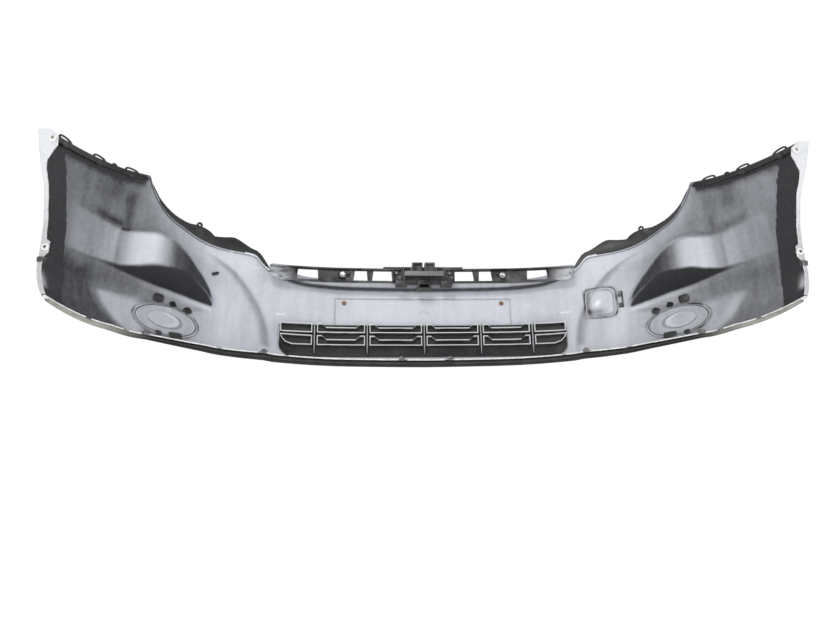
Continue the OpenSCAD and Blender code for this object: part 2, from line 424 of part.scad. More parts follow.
TN = 10;
function twp(i,j,lay) = let (a=tow_w/2-2.8, u=-a+2*a*i/TN, v=-a+2*a*j/TN, e=(u<0 && v<0 ? 2 : 4.5),
    p=max(abs(u),abs(v)), w=atan2(v,u), k=pow(pow(abs(cos(w)),e)+pow(abs(sin(w)),e),-1/e),
    s=ST+p*k*cos(w), z=ZT+p*k*sin(w), x=plx(s)/kx)
  at(s, crown(x,z,zbot(s/S0))+groove(x,z)-(lay==0?0.4:3.2), z);
TP = [for (l=[0,1]) for (i=[0:TN]) for (j=[0:TN]) twp(i,j,l)];
function ti(l,i,j) = l*(TN+1)*(TN+1)+i*(TN+1)+j;
TF = concat(
  [for (i=[0:TN-1]) for (j=[0:TN-1]) each [[ti(0,i,j),ti(0,i+1,j+1),ti(0,i+1,j)],[ti(0,i,j),ti(0,i,j+1),ti(0,i+1,j+1)],
    [ti(1,i,j),ti(1,i+1,j),ti(1,i+1,j+1)],[ti(1,i,j),ti(1,i+1,j+1),ti(1,i,j+1)]]],
  [for (k=[0:TN-1]) each [[ti(0,k,0),ti(1,k+1,0),ti(1,k,0)],[ti(0,k,0),ti(0,k+1,0),ti(1,k+1,0)],
    [ti(0,k,TN),ti(1,k,TN),ti(1,k+1,TN)],[ti(0,k,TN),ti(1,k+1,TN),ti(0,k+1,TN)],
    [ti(0,0,k),ti(1,0,k),ti(1,0,k+1)],[ti(0,0,k),ti(1,0,k+1),ti(0,0,k+1)],
    [ti(0,TN,k),ti(1,TN,k+1),ti(1,TN,k)],[ti(0,TN,k),ti(0,TN,k+1),ti(1,TN,k+1)]]]);
module tow_eye_cover() color([0.7,0.71,0.74]) org() polyhedron(TP, [for (f=TF) [f[2],f[1],f[0]]], 4);
// film strap that keeps the open cover on the car
module tow_eye_strap() color([0.12,0.12,0.125]) org() let (s=ST+tow_w/2+fit+11)
  on(s,D(s,ZT+20,40)-skin_t+0.2,ZT+22,27) { translate([-7,-9,0]) cube([14,18,2.2]);
    translate([-7,-42,0]) cube([14,14,2.2]); translate([3,-40,0]) cube([4,40,1.6]); }

// ---- number plate inserts and undertray nuts ----
module plate_inserts() color([0.55,0.36,0.24]) org() for (m=[-1,1])
  translate([m*plate_spacing/2,ply(sx(plate_spacing/2))-4,211]) rotate([90,0,0]) difference() {
    union() { translate([0,0,-2]) cylinder(12,r=4,$fn=32); translate([0,0,4.2]) cylinder(1.6,r=6.5,$fn=48); }
    translate([0,0,-4]) cylinder(20,r=plate_r,$fn=48); }
module undertray_nuts() color([0.35,0.35,0.37]) org() for (x=[-740,-470,-70,70,470,740])
  let (s=sx(x), q=s/S0, zb=zbot(q), w=WF(q), p=at(s,D(s,zb,zb)-w-3,zb+RI(q)))
  translate(p) rotate([0,0,atan2(tang(s)[1],tang(s)[0])]) difference() {
    union() { translate([-8,-9,3.2]) cube([16,22,1.2]); translate([-8,-9,-1.6]) cube([16,15,1.2]);
      translate([-8,-10.2,-1.6]) cube([16,1.2,6]); translate([0,-2,3.2]) cylinder(5,r=5,$fn=32); }
    translate([0,-2,-5]) cylinder(20,r=unut_r,$fn=48); }

cover_centre();
cover_inner_left();
cover_inner_right();
cover_side_left();
cover_side_right();
cover_arch_left();
cover_arch_right();
chin_strip();
lower_grille();
grille_backing();
bridge_bar();
bridge_bar_screws();
bridge_bar_washers();
centre_bracket();
centre_latch();
centre_clip_feet();
headlamp_bracket_left();
headlamp_bracket_right();
fender_retainer_left();
fender_retainer_right();
arch_grommets();
arch_liner_clips();
fog_cover_left();
fog_cover_right();
tow_eye_cover();
tow_eye_strap();
plate_inserts();
undertray_nuts();
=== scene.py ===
import bpy, bmesh, math, random
import numpy as np
from mathutils import Vector, Matrix


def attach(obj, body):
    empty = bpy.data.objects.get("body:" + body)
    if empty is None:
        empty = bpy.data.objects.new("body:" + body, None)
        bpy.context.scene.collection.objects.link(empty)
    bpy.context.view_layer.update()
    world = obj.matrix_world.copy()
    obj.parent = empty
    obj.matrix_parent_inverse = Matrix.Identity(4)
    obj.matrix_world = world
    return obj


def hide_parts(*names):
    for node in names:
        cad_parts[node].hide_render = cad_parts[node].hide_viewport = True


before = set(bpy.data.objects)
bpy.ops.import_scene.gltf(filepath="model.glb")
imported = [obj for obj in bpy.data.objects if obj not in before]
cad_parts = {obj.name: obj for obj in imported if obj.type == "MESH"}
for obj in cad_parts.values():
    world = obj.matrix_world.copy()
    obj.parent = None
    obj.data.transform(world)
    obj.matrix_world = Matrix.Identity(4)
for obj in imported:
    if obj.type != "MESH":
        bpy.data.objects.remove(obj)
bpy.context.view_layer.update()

# ---- the cover's surface, in millimetres, as in the CAD source ----
SK_T = 3.0; LEDGE = 28.0; UPST = 20.0; BFL = 50.0; PLW = 524.0; PLD = 4.0
GW, GH, GZC = 844.0, 96.0, 94.0
FOG_A, FOG_B, FIT, TOW = 84.0, 44.0, 2.5, 86.0
PP = np.array([[-130,-40],[0,-38],[130,-40],[262,-46],[371,-60],[440,-78],[500,-100],
  [554,-125],[600,-151],[650,-186],[705,-229],[757,-274],[800,-324],
  [835,-383],[862,-450],[880,-515],[892,-580],[900,-645],[906,-710]], float)
def cr(p0,p1,p2,p3,f):
    return 0.5*(2*p1+(p2-p0)*f+(2*p0-5*p1+4*p2-p3)*f*f+(3*p1-p0-3*p2+p3)*f**3)
HP = np.array([cr(PP[i-1],PP[i],PP[i+1],PP[i+2],k/10.0) for i in range(1,len(PP)-2) for k in range(10)])
CUM = np.r_[0, np.cumsum(np.linalg.norm(np.diff(HP,axis=0),axis=1))]
def dn(t):
    t = np.array(t,float); o=[]
    n=len(t)
    for i in range(n-1):
        for k in range(6):
            o.append(cr(t[max(0,i-1)],t[i],t[i+1],t[min(n-1,i+2)],k/6.0))
    o.append(t[-1]); return np.array(o)
def lk(x,t): return np.interp(x,t[:,0],t[:,1])
def plx(s): return np.sign(s)*np.interp(np.abs(s),CUM,HP[:,0])
def ply(s): return np.interp(np.abs(s),CUM,HP[:,1])
def sx(x): return np.sign(x)*np.interp(np.abs(x),HP[:,0],CUM)
def sy(y): return np.interp(-y,-HP[:,1],CUM)
def tang(s):
    s=np.asarray(s,float)
    a=np.stack([plx(s-6),ply(s-6)],-1); b=np.stack([plx(s+6),ply(s+6)],-1)
    d=b-a; return d/np.linalg.norm(d,axis=-1,keepdims=True)
def nrm(s):
    t=tang(s); return np.stack([-t[...,1],t[...,0]],-1)
def at(s,d,z):
    s,d,z=np.broadcast_arrays(np.asarray(s,float),d,z); n=nrm(s)
    return np.stack([plx(s)+n[...,0]*d, ply(s)+n[...,1]*d, z],-1)
def cl(v): return np.clip(v,0,1)
def ss(v):
    t=cl(v); return t*t*(3-2*t)
S0=float(sx(800.0)); SW=float(sx(757.0))
ZTOP=dn([[0,252],[200,254],[290,258],[360,265],[410,280],[450,297],[472,316],
  [492,338],[520,344],[569,347],[604,352],[638,364],[671,383],[704,405],
  [725,430],[743,460],[757,494]])
ZBOT=dn([[0,19],[250,22],[400,28],[500,34],[600,41],[700,51],[760,57],[800,64]])
def ztop_s(s):
    x=np.abs(plx(s)); return np.where(x<=757, lk(x,ZTOP), 494-0.13*(np.abs(s)-SW))
def ztop(q):
    a=np.abs(q); z0=float(ztop_s(S0))
    return np.where(a<=1, ztop_s(np.minimum(a,1)*S0), z0+(457-z0)*(a-1))
def zbot(q):
    a=np.abs(q)
    return np.where(a<=1, lk(np.abs(plx(np.minimum(a,1)*S0)),ZBOT), 64+28*np.maximum(a-1,0)**1.5)
ARCH=dn([[60,-512],[88,-494],[111,-486],[140,-478],[180,-474],[217,-474],[254,-478],
  [290,-485],[350,-507],[391,-535],[417,-553],[457,-580]])
def s_end(z): return sy(lk(z,ARCH))
def qs(q,z):
    a=np.abs(q); return np.where(a<=1, q*S0, np.sign(q)*(S0+(a-1)*(s_end(z)-S0)))
ARCHW=np.array([[60,12],[130,14],[170,13],[196,15],[204,25],[230,25],[238,14],[300,12],
  [380,13],[398,17],[412,32],[424,46],[440,48],[458,24]],float)
CROWN=dn([[0,20],[300,20],[500,24],[620,30],[757,36],[835,42],[900,46]])
C0=dn([[0,20],[300,18],[500,12],[620,6],[757,0],[900,0]])
PKD=dn([[583,0],[605,28],[625,44],[655,60],[680,66],[705,64],[735,54],[757,34],[775,18],[789,10],[848,0]])
PKL=dn([[583,174],[668,200],[732,216],[789,235],[824,240],[860,246]])
PKT=dn([[583,180],[601,212],[625,243],[644,262],[668,288],[686,306],[705,320],[743,333],[789,334],[846,354]])
GRV=dn([[60,456],[142,467],[210,497],[272,540],[307,581],[330,622],[345,650]])
FPB=dn([[50,752],[64,762],[95,787],[134,804],[164,811]])
def crown(x,z,zb):
    g=np.where(z>=185, 1-np.clip((z-185)/270,0,1.15)**1.6, 1-np.clip((185-z)/np.maximum(40,185-zb),0,1.1)**2)
    return lk(x,CROWN)*g-lk(x,C0)
def pocket(x,z):
    d=np.maximum(lk(x,PKD),0); lo=lk(x,PKL); hi=lk(x,PKT)
    v=-d*cl((z-lo)/(0.62*d+2))*(1-ss((z-hi)/(14+0.45*d)))
    return np.where((x<584)|(x>847),0,v)
def groove(x,z):
    e=x-lk(z,GRV)
    return -9*np.where(e<0,np.exp(-e*e/90),np.exp(-e*e/2600))*(1-ss((z-300)/50))
def fogpan(x,z): return -9*ss((lk(z,FPB)-x)/24)*ss((172-z)/22)*ss((x-570)/60)
def plate(x,z): return -PLD*ss((PLW/2+3-x)/6)*ss((z-118)/6)*ss((228-z)/6)
def Dof(s,z,zb):
    x=np.abs(plx(s)); return crown(x,z,zb)+pocket(x,z)+groove(x,z)+fogpan(x,z)+plate(x,z)
SF=float(sx(689.0)); ZF=114.0; FT=np.radians(8.0); ST=float(sx(518.0)); ZT=198.0
def rbox(u,v,a,b,r):
    p0=np.abs(u)-a+r; p1=np.abs(v)-b+r
    return np.hypot(np.maximum(p0,0),np.maximum(p1,0))+np.minimum(np.maximum(p0,p1),0)-r
ORG = np.array([0.0, -70.0, 300.0])
def M(P): return (np.asarray(P, float) - ORG) / 1000.0
def WFq(q):
    a=np.abs(q); return np.where(a<=1, BFL-(BFL-26)*ss((a-0.45)/0.55), 26-14*cl(a-1))
def LDq(q):
    x=np.abs(plx(np.minimum(np.abs(q),1)*S0)); return np.where((x<380)&(np.abs(q)<=1), LEDGE, 5+(LEDGE-5)*(1-ss((x-380)/100)))
def UHq(q):
    x=np.abs(plx(np.minimum(np.abs(q),1)*S0)); return np.where((x<400)&(np.abs(q)<=1), UPST, 4+(UPST-4)*(1-ss((x-400)/70)))
def h_grille(s,z): return np.where(z<GZC, rbox(s,z-GZC,GW/2,GH/2,44.0), rbox(s,z-GZC,GW/2,GH/2,8.0))
def h_fog(s,z):
    u=np.abs(s)-SF; v=z-ZF; c,n_=math.cos(FT),math.sin(FT)
    a=u*c+v*n_; b=-u*n_+v*c; k=np.hypot(a/(FOG_A+FIT),b/(FOG_B+FIT))
    return (k-1)*np.hypot(a,b)/np.maximum(k,0.05)
def h_tow(s,z): return rbox(s-ST,z-ZT,TOW/2+FIT,TOW/2+FIT,14.0)
def hole(s,z): return np.minimum(np.minimum(h_grille(s,z),h_fog(s,z)),h_tow(s,z))
BAND = np.array([[60,1004],[107,994],[160,983],[248,992],[299,1001],[366,1024],[415,1044],[454,1071],[520,1110]],float)

# ---------------------------------------------------------------- mesh helpers
def build(name, V, F, body="root", repl=(), mats=(), mi=None, attrs=None, sharp=38, recalc=True, merge=1e-6):
    me = bpy.data.meshes.new(name)
    me.from_pydata([tuple(map(float, v)) for v in V], [], [tuple(map(int, f)) for f in F])
    if attrs:
        for k, a in attrs.items():
            at_ = me.attributes.new(k, "FLOAT", "POINT"); at_.data.foreach_set("value", np.asarray(a, np.float32))
    for m in mats: me.materials.append(m)
    if mi is not None: me.polygons.foreach_set("material_index", np.asarray(mi, np.int32))
    if recalc or merge:
        bm = bmesh.new(); bm.from_mesh(me)
        if merge: bmesh.ops.remove_doubles(bm, verts=bm.verts, dist=merge)
        if recalc: bmesh.ops.recalc_face_normals(bm, faces=bm.faces)
        bm.to_mesh(me); bm.free()
    me.polygons.foreach_set("use_smooth", [True]*len(me.polygons))
    me.set_sharp_from_angle(angle=math.radians(sharp))
    me.update()
    ob = bpy.data.objects.new(name, me); bpy.context.scene.collection.objects.link(ob)
    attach(ob, body)
    if repl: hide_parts(*repl)
    return ob
def tube(path, prof, closed=False):
    """rings along a path; prof(i) gives the ring's points"""
    V=[]; F=[]; n=None
    for i in range(len(path)):
        r=prof(i); n=len(r); V+= [list(p) for p in r]
    m=len(path)
    for i in range(m-1 if not closed else m):
        for k in range(n):
            a=i*n+k; b=i*n+(k+1)%n; c=((i+1)%m)*n+(k+1)%n; d=((i+1)%m)*n+k
            F.append((a,b,c,d))
    if not closed: F.append(tuple(range(n-1,-1,-1))); F.append(tuple((m-1)*n+k for k in range(n)))
    return V,F
def sheet2(Po, Pi, F):
    """two layers with the same cells, joined by rims: returns V, F, tag (0 outer, 1 inner, 2 rim)"""
    n=len(Po); V=np.vstack([Po,Pi]); FO=[tuple(f) for f in F]
    FI=[tuple(v+n for v in reversed(f)) for f in F]
    cnt={}
    for f in FO:
        for a,b in zip(f, f[1:]+f[:1]):
            k=(a,b) if a<b else (b,a); cnt.setdefault(k,[]).append((a,b))
    R=[(b,a,a+n,b+n) for k,e in cnt.items() if len(e)==1 for a,b in e]
    return V, FO+FI+R, np.r_[np.zeros(len(FO)),np.ones(len(FI)),2*np.ones(len(R))].astype(int)

# ---------------------------------------------------------------- material helpers
class Mat:
    def __init__(s, name):
        s.m=bpy.data.materials.new(name); s.m.use_nodes=True; s.t=s.m.node_tree
        s.b=[n for n in s.t.nodes if n.type=="BSDF_PRINCIPLED"][0]; s.co=None
    def n(s, kind, **k):
        x=s.t.nodes.new(kind)
        for a,v in k.items(): setattr(x,a,v)
        return x
    def l(s,a,b): s.t.links.new(a,b)
    def coord(s, scale=(1,1,1)):
        if s.co is None: s.co=s.n("ShaderNodeTexCoord").outputs["Object"]
        if scale==(1,1,1): return s.co
        mp=s.n("ShaderNodeMapping"); mp.inputs["Scale"].default_value=scale; s.l(s.co,mp.inputs["Vector"]); return mp.outputs["Vector"]
    def noise(s, scale, detail=4, rough=0.55, stretch=(1,1,1), dist=0.0):
        x=s.n("ShaderNodeTexNoise"); x.inputs["Scale"].default_value=scale; x.inputs["Detail"].default_value=detail
        x.inputs["Roughness"].default_value=rough; x.inputs["Distortion"].default_value=dist
        s.l(s.coord(stretch), x.inputs["Vector"]); return x.outputs["Fac"]
    def voro(s, scale, feature="F1", stretch=(1,1,1)):
        x=s.n("ShaderNodeTexVoronoi"); x.feature=feature; x.inputs["Scale"].default_value=scale
        s.l(s.coord(stretch), x.inputs["Vector"]); return x.outputs["Distance"]
    def att(s, name): return s.n("ShaderNodeAttribute", attribute_name=name).outputs["Fac"]
    def rng(s, v, a, b, c=0.0, d=1.0, smooth=True):
        x=s.n("ShaderNodeMapRange"); x.interpolation_type="SMOOTHSTEP" if smooth else "LINEAR"
        s.l(v,x.inputs["Value"])
        for k,w in zip(("From Min","From Max","To Min","To Max"),(a,b,c,d)): x.inputs[k].default_value=w
        return x.outputs["Result"]
    def math(s, op, a, b=None):
        x=s.n("ShaderNodeMath", operation=op)
        for i,v in enumerate((a,b)):
            if v is None: continue
            if isinstance(v,(int,float)): x.inputs[i].default_value=v
            else: s.l(v,x.inputs[i])
        return x.outputs[0]
    def mix(s, f, a, b, blend="MIX"):
        x=s.n("ShaderNodeMix", data_type="RGBA"); x.blend_type=blend
        ins=[i for i in x.inputs if i.type=="RGBA"]; fi=[i for i in x.inputs if i.type=="VALUE"][0]
        if isinstance(f,(int,float)): fi.default_value=f
        else: s.l(f,fi)
        for i,v in zip(ins,(a,b)):
            if isinstance(v,tuple): i.default_value=(*v,1.0)
            else: s.l(v,i)
        return [o for o in x.outputs if o.type=="RGBA"][0]
    def col(s, c): s.l(c, s.b.inputs["Base Color"])
    def rough(s, r): s.l(r, s.b.inputs["Roughness"])
    def bump(s, h, strength=0.3, dist=0.001, prev=None):
        x=s.n("ShaderNodeBump"); x.inputs["Strength"].default_value=strength; x.inputs["Distance"].default_value=dist
        s.l(h,x.inputs["Height"])
        if prev is not None: s.l(prev,x.inputs["Normal"])
        s.l(x.outputs["Normal"], s.b.inputs["Normal"]); return x.outputs["Normal"]
    def const(s, **k):
        for a,v in k.items(): s.b.inputs[a.replace("_"," ")].default_value=v
        return s

def m_paint():
    m=Mat("silver_paint"); m.const(Metallic=0.35, Roughness=0.32, Coat_Weight=0.55, Coat_Roughness=0.12)
    big=m.noise(3.2,3,0.5); fl=m.voro(1500); dirt=m.noise(38,6,0.7); sc=m.noise(60,3,0.6,(1,1,9))
    c=m.mix(m.rng(big,0.3,0.7), (0.36,0.37,0.395), (0.42,0.43,0.455))
    c=m.mix(m.rng(fl,0.1,0.7,0.0,0.22), c, (0.56,0.57,0.60))
    c=m.mix(m.rng(dirt,0.60,0.78,0.0,0.30), c, (0.25,0.245,0.235))
    c=m.mix(m.math("MULTIPLY", m.rng(sc,0.62,0.7), m.att("wear")), c, (0.86,0.86,0.85))
    c=m.mix(m.math("MULTIPLY", m.att("white"), m.rng(dirt,0.45,0.75,1.0,0.55)), c, (0.70,0.71,0.73))
    m.col(c); m.rough(m.rng(dirt,0.35,0.75,0.22,0.5)); m.bump(m.noise(900,2,0.5),0.04,0.0003); return m.m
def m_overspray_and_painted_light():
    m=Mat("overspray_and_painted_light_inside"); m.const(Metallic=0.0, Specular_IOR_Level=0.45)
    S=m.att("overspray_and_painted_light"); cloud=m.noise(7,4,0.6); fine=m.noise(85,5,0.65); speck=m.voro(700); run=m.noise(9,4,0.6,(5,5,0.7))
    S1=m.math("ADD", S, m.rng(cloud,0.25,0.75,-0.06,0.06)); S1=m.math("ADD", S1, m.rng(run,0.25,0.75,-0.05,0.05))
    S1=m.math("ADD", S1, m.rng(fine,0.3,0.7,-0.035,0.035)); S1=m.math("MULTIPLY", S1, m.rng(S,0.02,0.12))
    c=m.mix(S1, (0.0105,0.011,0.013), (0.60,0.62,0.675))
    c=m.mix(m.rng(speck,0.0,0.5,0.10,0.0), c, (0.75,0.76,0.80))
    dust=m.noise(26,7,0.75); c=m.mix(m.rng(dust,0.60,0.80,0.0,0.20), c, (0.42,0.40,0.36))
    scr=m.noise(34,2,0.4,(0.35,0.35,7),1.2); c=m.mix(m.math("MULTIPLY", m.rng(scr,0.735,0.76), m.rng(S,0.3,0.9,0.0,0.6)), c, (0.93,0.93,0.95))
    c=m.mix(m.att("white"), c, (0.92,0.93,0.94))
    c=m.mix(m.att("grime"), c, (0.045,0.043,0.04))
    m.col(c); m.rough(m.rng(fine,0.3,0.7,0.36,0.56)); p=m.bump(fine,0.10,0.0006); m.bump(m.noise(1100,2,0.5),0.10,0.0003,p); return m.m
def m_edge():
    m=Mat("raw_edge"); m.const(Roughness=0.55)
    a=m.noise(60,5,0.7); c=m.mix(m.rng(a,0.42,0.60), (0.10,0.10,0.105), (0.66,0.67,0.69)); c=m.mix(m.att("white"), c, (0.93,0.93,0.93))
    c=m.mix(m.att("grime"), c, (0.02,0.02,0.022)); m.col(c); m.bump(a,0.35,0.0008); return m.m
def m_black(name, base=(0.024,0.024,0.027), dusty=0.25, rough=(0.32,0.55), grain=900, dustc=(0.30,0.29,0.27)):
    m=Mat(name); m.const(Specular_IOR_Level=0.5)
    a=m.noise(22,6,0.7); g=m.noise(grain,2,0.5); e=m.noise(120,4,0.7)
    c=m.mix(m.rng(a,0.42,0.75,0.0,dusty), base, dustc)
    c=m.mix(m.rng(e,0.60,0.72,0.0,0.16), c, (0.20,0.20,0.21))
    m.col(c); m.rough(m.rng(a,0.3,0.7,*rough)); p=m.bump(g,0.16,0.0004); m.bump(e,0.08,0.0006,p); return m
def m_metal(name, c0, c1, rough=(0.22,0.42), spots=None):
    m=Mat(name); m.const(Metallic=0.9)
    a=m.noise(180,5,0.7); c=m.mix(m.rng(a,0.3,0.7), c0, c1)
    if spots: c=m.mix(m.rng(m.noise(420,4,0.7),0.52,0.62,0.0,0.8), c, spots)
    m.col(c); m.rough(m.rng(a,0.3,0.7,*rough)); m.bump(a,0.15,0.0004); return m.m

# ================================================================ painted cover
T = SK_T
def overspray_and_painted_light_map(s, z, zb, zt):
    """how much silver overspray lies on the inner face, 0 bare black plastic to 1; painted highlights and painted shade
    are worked into the same value
    """
    x=np.abs(plx(s)); a=np.abs(s)
    S=np.interp(x,[0,560,610,650,690,740,800,900],[0.97,0.90,0.76,0.54,0.38,0.28,0.21,0.21])
    L_=s<0; S=np.where(L_, S, S+0.10*ss((x-640)/60))
    rim=ss(1-(zt-z)/70)*ss((x-470)/60)*ss((770-x)/30)                      # lighter along the lamp edge
    S=S+0.16*rim
    S=S-0.15*np.exp(-((a-852)/17)**2)*ss((z-325)/30)*ss((470-z)/50)        # soft dark stripe
    S=S-0.10*np.exp(-((a-905)/30)**2)*ss((z-380)/40)
    lo=lk(x,PKL); d=lk(x,PKD)
    inside=(x>590)&(x<848)
    # across the pocket's curved wall: a painted highlight band, painted shade on its inner side and a painted dark line
    # at the crease
    bul=ss((z-lo-0.52*d)/7)*ss((lk(x,PKT)+5-z)/13)*ss((x-588)/14)*ss((852-x)/8)
    prof=np.interp(a,[560,700,738,750,762,778,798,818,838,856,864,869,876,900,935],[0.05,0.05,0.08,0.18,0.42,0.74,0.95,0.98,0.78,0.50,0.40,0.36,0.58,0.48,0.38])
    S=S*(1-bul)+prof*bul
    S=S-0.13*np.exp(-((z-lk(x,PKT)-16)/13)**2)*ss((a-858)/10)*ss((948-a)/20)       # shade above the facet's upper edge
    # the pocket's downward-facing underside is made almost black, partly bare plastic and partly painted shade, with a
    # painted dark line along its lower crease
    und=ss((z-lo+2)/5)*ss((lo+0.60*d+4-z)/6)*ss((d-4)/10)*inside
    S=S*(1-und*0.94)
    S=S*(1-0.55*np.exp(-((z-lo-2)/4.0)**2)*ss((d-5)/8)*inside)
    S=S+0.22*np.exp(-((z-lo+9)/6.0)**2)*ss((d-5)/8)*ss((760-x)/60)*(x>590)         # lit ridge under the bulge
    fpb=lk(z,FPB)
    low=ss((x-fpb+3)/12)*ss((lo+24-z)/120)*ss((x-690)/60)*np.where(L_,1.0,0.35)                    # darker lower wing outside the lamp pan, stronger on the left
    S=S*(1-low*0.62)
    S=S+np.where(L_,0.40,0.26)*ss((fpb-x)/10)*ss((176-z)/16)*ss((x-725)/26)                    # painted highlight on the panel beside the lamp cover, stronger on the left
    S=S-0.06*np.exp(-((z-205)/22)**2)*ss((x-640)/30)*(1-und)*ss((lo-z)/8)
    bw=lk(z,BAND)
    S=np.where(a>bw, 0.015, S*(0.92+0.08*ss((bw-a)/4)))                    # masked band along the arch
    top=ss(1-(zt-z-12)/26)*ss((x-757)/10)
    S=S*(1-0.97*top)
    e=x-lk(z,GRV); S=S-0.42*np.exp(-(e/13)**2)*(1-ss((z-285)/50))*ss((z-62)/20)   # soft shadowed groove
    # broad painted shade on the outer side of the groove
    S=S-0.10*np.exp(-((e-40)/30)**2)*(1-ss((z-285)/50))
    # thin painted shade lines along the plate recess's side and top edges
    for lim,c in ((PLW/2,x),):
        S=S-0.30*np.exp(-((c-lim)/1.6)**2)*ss((z-140)/10)*ss((228-z)/4)
    S=S-0.26*np.exp(-((z-225.5)/2.0)**2)*(x<PLW/2+2)
    S=S-0.10*ss(1-(zt-z)/16)*(x<430)                                        # shade under the ledge
    r=np.hypot(s,(z-168)); S=S-0.22*np.exp(-((r-19)/1.6)**2)*(z>166)        # half round mark
    return np.clip(S,0.012,1.0)

def make_skin():
    R=6.0
    n1,n2=216,76
    qa=np.linspace(0,1,n1,endpoint=False); qb=np.linspace(1,2,n2+1)
    q=np.r_[-np.r_[qa,qb][:0:-1], qa, qb]; C=len(q); sg=np.sign(q); aq=np.abs(q)
    zb=zbot(q); zt=ztop(q); LD=LDq(q); UH=UHq(q); WF=WFq(q)
    Rt=np.minimum(R,LD*0.6+0.5); RA=4.0
    def s_of(z):
        return np.where(aq<=1, q*S0, sg*(S0+(aq-1)*(s_end(z)-RA-S0)))
    rows=[]   # each: (s, d_out, z_out, d_in, z_in, kind)
    z0=zb+R; s0=s_of(z0); D0=Dof(s0,z0,zb)
    kf=np.linspace(1,0,9)
    for k in kf[:-1]:
        dep=(WF-R)*k; zz=zb+0.17*dep
        rows.append((s_of(zb), D0-R-dep, zz, D0-R-dep, zz+T, "flange"))
    for a in np.radians([90,67,45,22]):
        rows.append((s0, D0-R+R*np.cos(a), zb+R-R*np.sin(a), D0-R+(R-T)*np.cos(a), zb+R-(R-T)*np.sin(a), "arc"))
    nr=124
    for t in np.linspace(0,1,nr+1):
        z=z0+(zt-Rt-z0)*t; s=s_of(z); D=Dof(s,z,zb)
        rows.append((s,D,z,D-T,z,"wall"))
    z1=zt-Rt; s1=s_of(z1); D1=Dof(s1,z1,zb)
    for a in np.radians([22,45,67,90]):
        rows.append((s1, D1-Rt+Rt*np.cos(a), z1+Rt*np.sin(a), D1-Rt+np.maximum(Rt-T,0.4)*np.cos(a), z1+np.maximum(Rt-T,0.4)*np.sin(a), "arc"))
    for k in (0.25,0.5,0.75,0.93,1.0):
        rows.append((s1, D1-Rt-(LD-Rt)*k, zt+0*q, D1-Rt-(LD+T-Rt)*k+(0.8 if k==1 else 0), zt-T+(0 if k<1 else 0.0), "ledge"))
    for k in (0.04,0.3,0.6,0.9,1.0):
        rows.append((s1, D1-LD, zt+UH*k, D1-LD-T, zt-T+0.8*0+(UH+T)*k if k<1 else zt+UH, "up"))
    NRW=len(rows); kinds=[r[5] for r in rows]
    S_=np.array([r[0] for r in rows]); Zo=np.array([r[2]+0*q for r in rows]); Do=np.array([r[1] for r in rows])
    Zi=np.array([r[4]+0*q for r in rows]); Di=np.array([r[3] for r in rows])
    Po=at(S_,Do,Zo).reshape(-1,3); Pi=at(S_,Di,Zi).reshape(-1,3)
    idx=np.arange(NRW*C).reshape(NRW,C)
    sf=S_.reshape(-1); zf=Zo.reshape(-1)
    wall=np.array([k=="wall" for k in kinds])
    H=np.full((NRW,C),99.0); H[wall]=hole(S_[wall],Zo[wall])
    # notches in the free edge of the bottom flange
    nx=np.array([sx(v) for v in (61.,404.,476.,583.,773.,831.,956.)])
    for r in range(0,9):
        dep=(WF-R)*kf[r] if r<8 else 0*q
        dist=np.min([np.hypot((np.abs(S_[r])-v)/1.0,(WF-R)-dep) for v in nx],axis=0)
        H[r]=dist-6.5
    Hf=H.reshape(-1)
    V2=[]; newv={}; F=[]; tag=[]
    base=NRW*C
    ex_o=[];ex_i=[];ex_s=[];ex_z=[];ex_zb=[]
    zbf=np.broadcast_to(zb,(NRW,C)).reshape(-1)
    def cut(a,b):
        k=(a,b) if a<b else (b,a)
        if k in newv: return newv[k]
        a,b=k; ha,hb=Hf[a],Hf[b]; t=ha/(ha-hb)
        o=Po[a]+(Po[b]-Po[a])*t; i=Pi[a]+(Pi[b]-Pi[a])*t
        newv[k]=base+len(ex_o); ex_o.append(o); ex_i.append(i); ex_s.append(sf[a]+(sf[b]-sf[a])*t); ex_z.append(zf[a]+(zf[b]-zf[a])*t)
        return newv[k]
    ledge_skip=(aq>1.9)
    for r in range(NRW-1):
        kr=kinds[r+1]
        for c in range(C-1):
            if kr in("ledge","up") and (ledge_skip[c] or ledge_skip[c+1]): continue
            v=(idx[r,c],idx[r,c+1],idx[r+1,c+1],idx[r+1,c])
            hs=[Hf[k] for k in v]
            if min(hs)>0: F.append(tuple(int(k) for k in v)); continue
            if max(hs)<=0: continue
            poly=[]
            for m in range(4):
                a,b=v[m],v[(m+1)%4]
                if Hf[a]>0: poly.append(int(a))
                if (Hf[a]>0)!=(Hf[b]>0): poly.append(cut(int(a),int(b)))
            if len(poly)>=3: F.append(tuple(poly))
    Po=np.vstack([Po,ex_o]); Pi=np.vstack([Pi,ex_i]); sf=np.r_[sf,ex_s]; zf=np.r_[zf,ex_z]
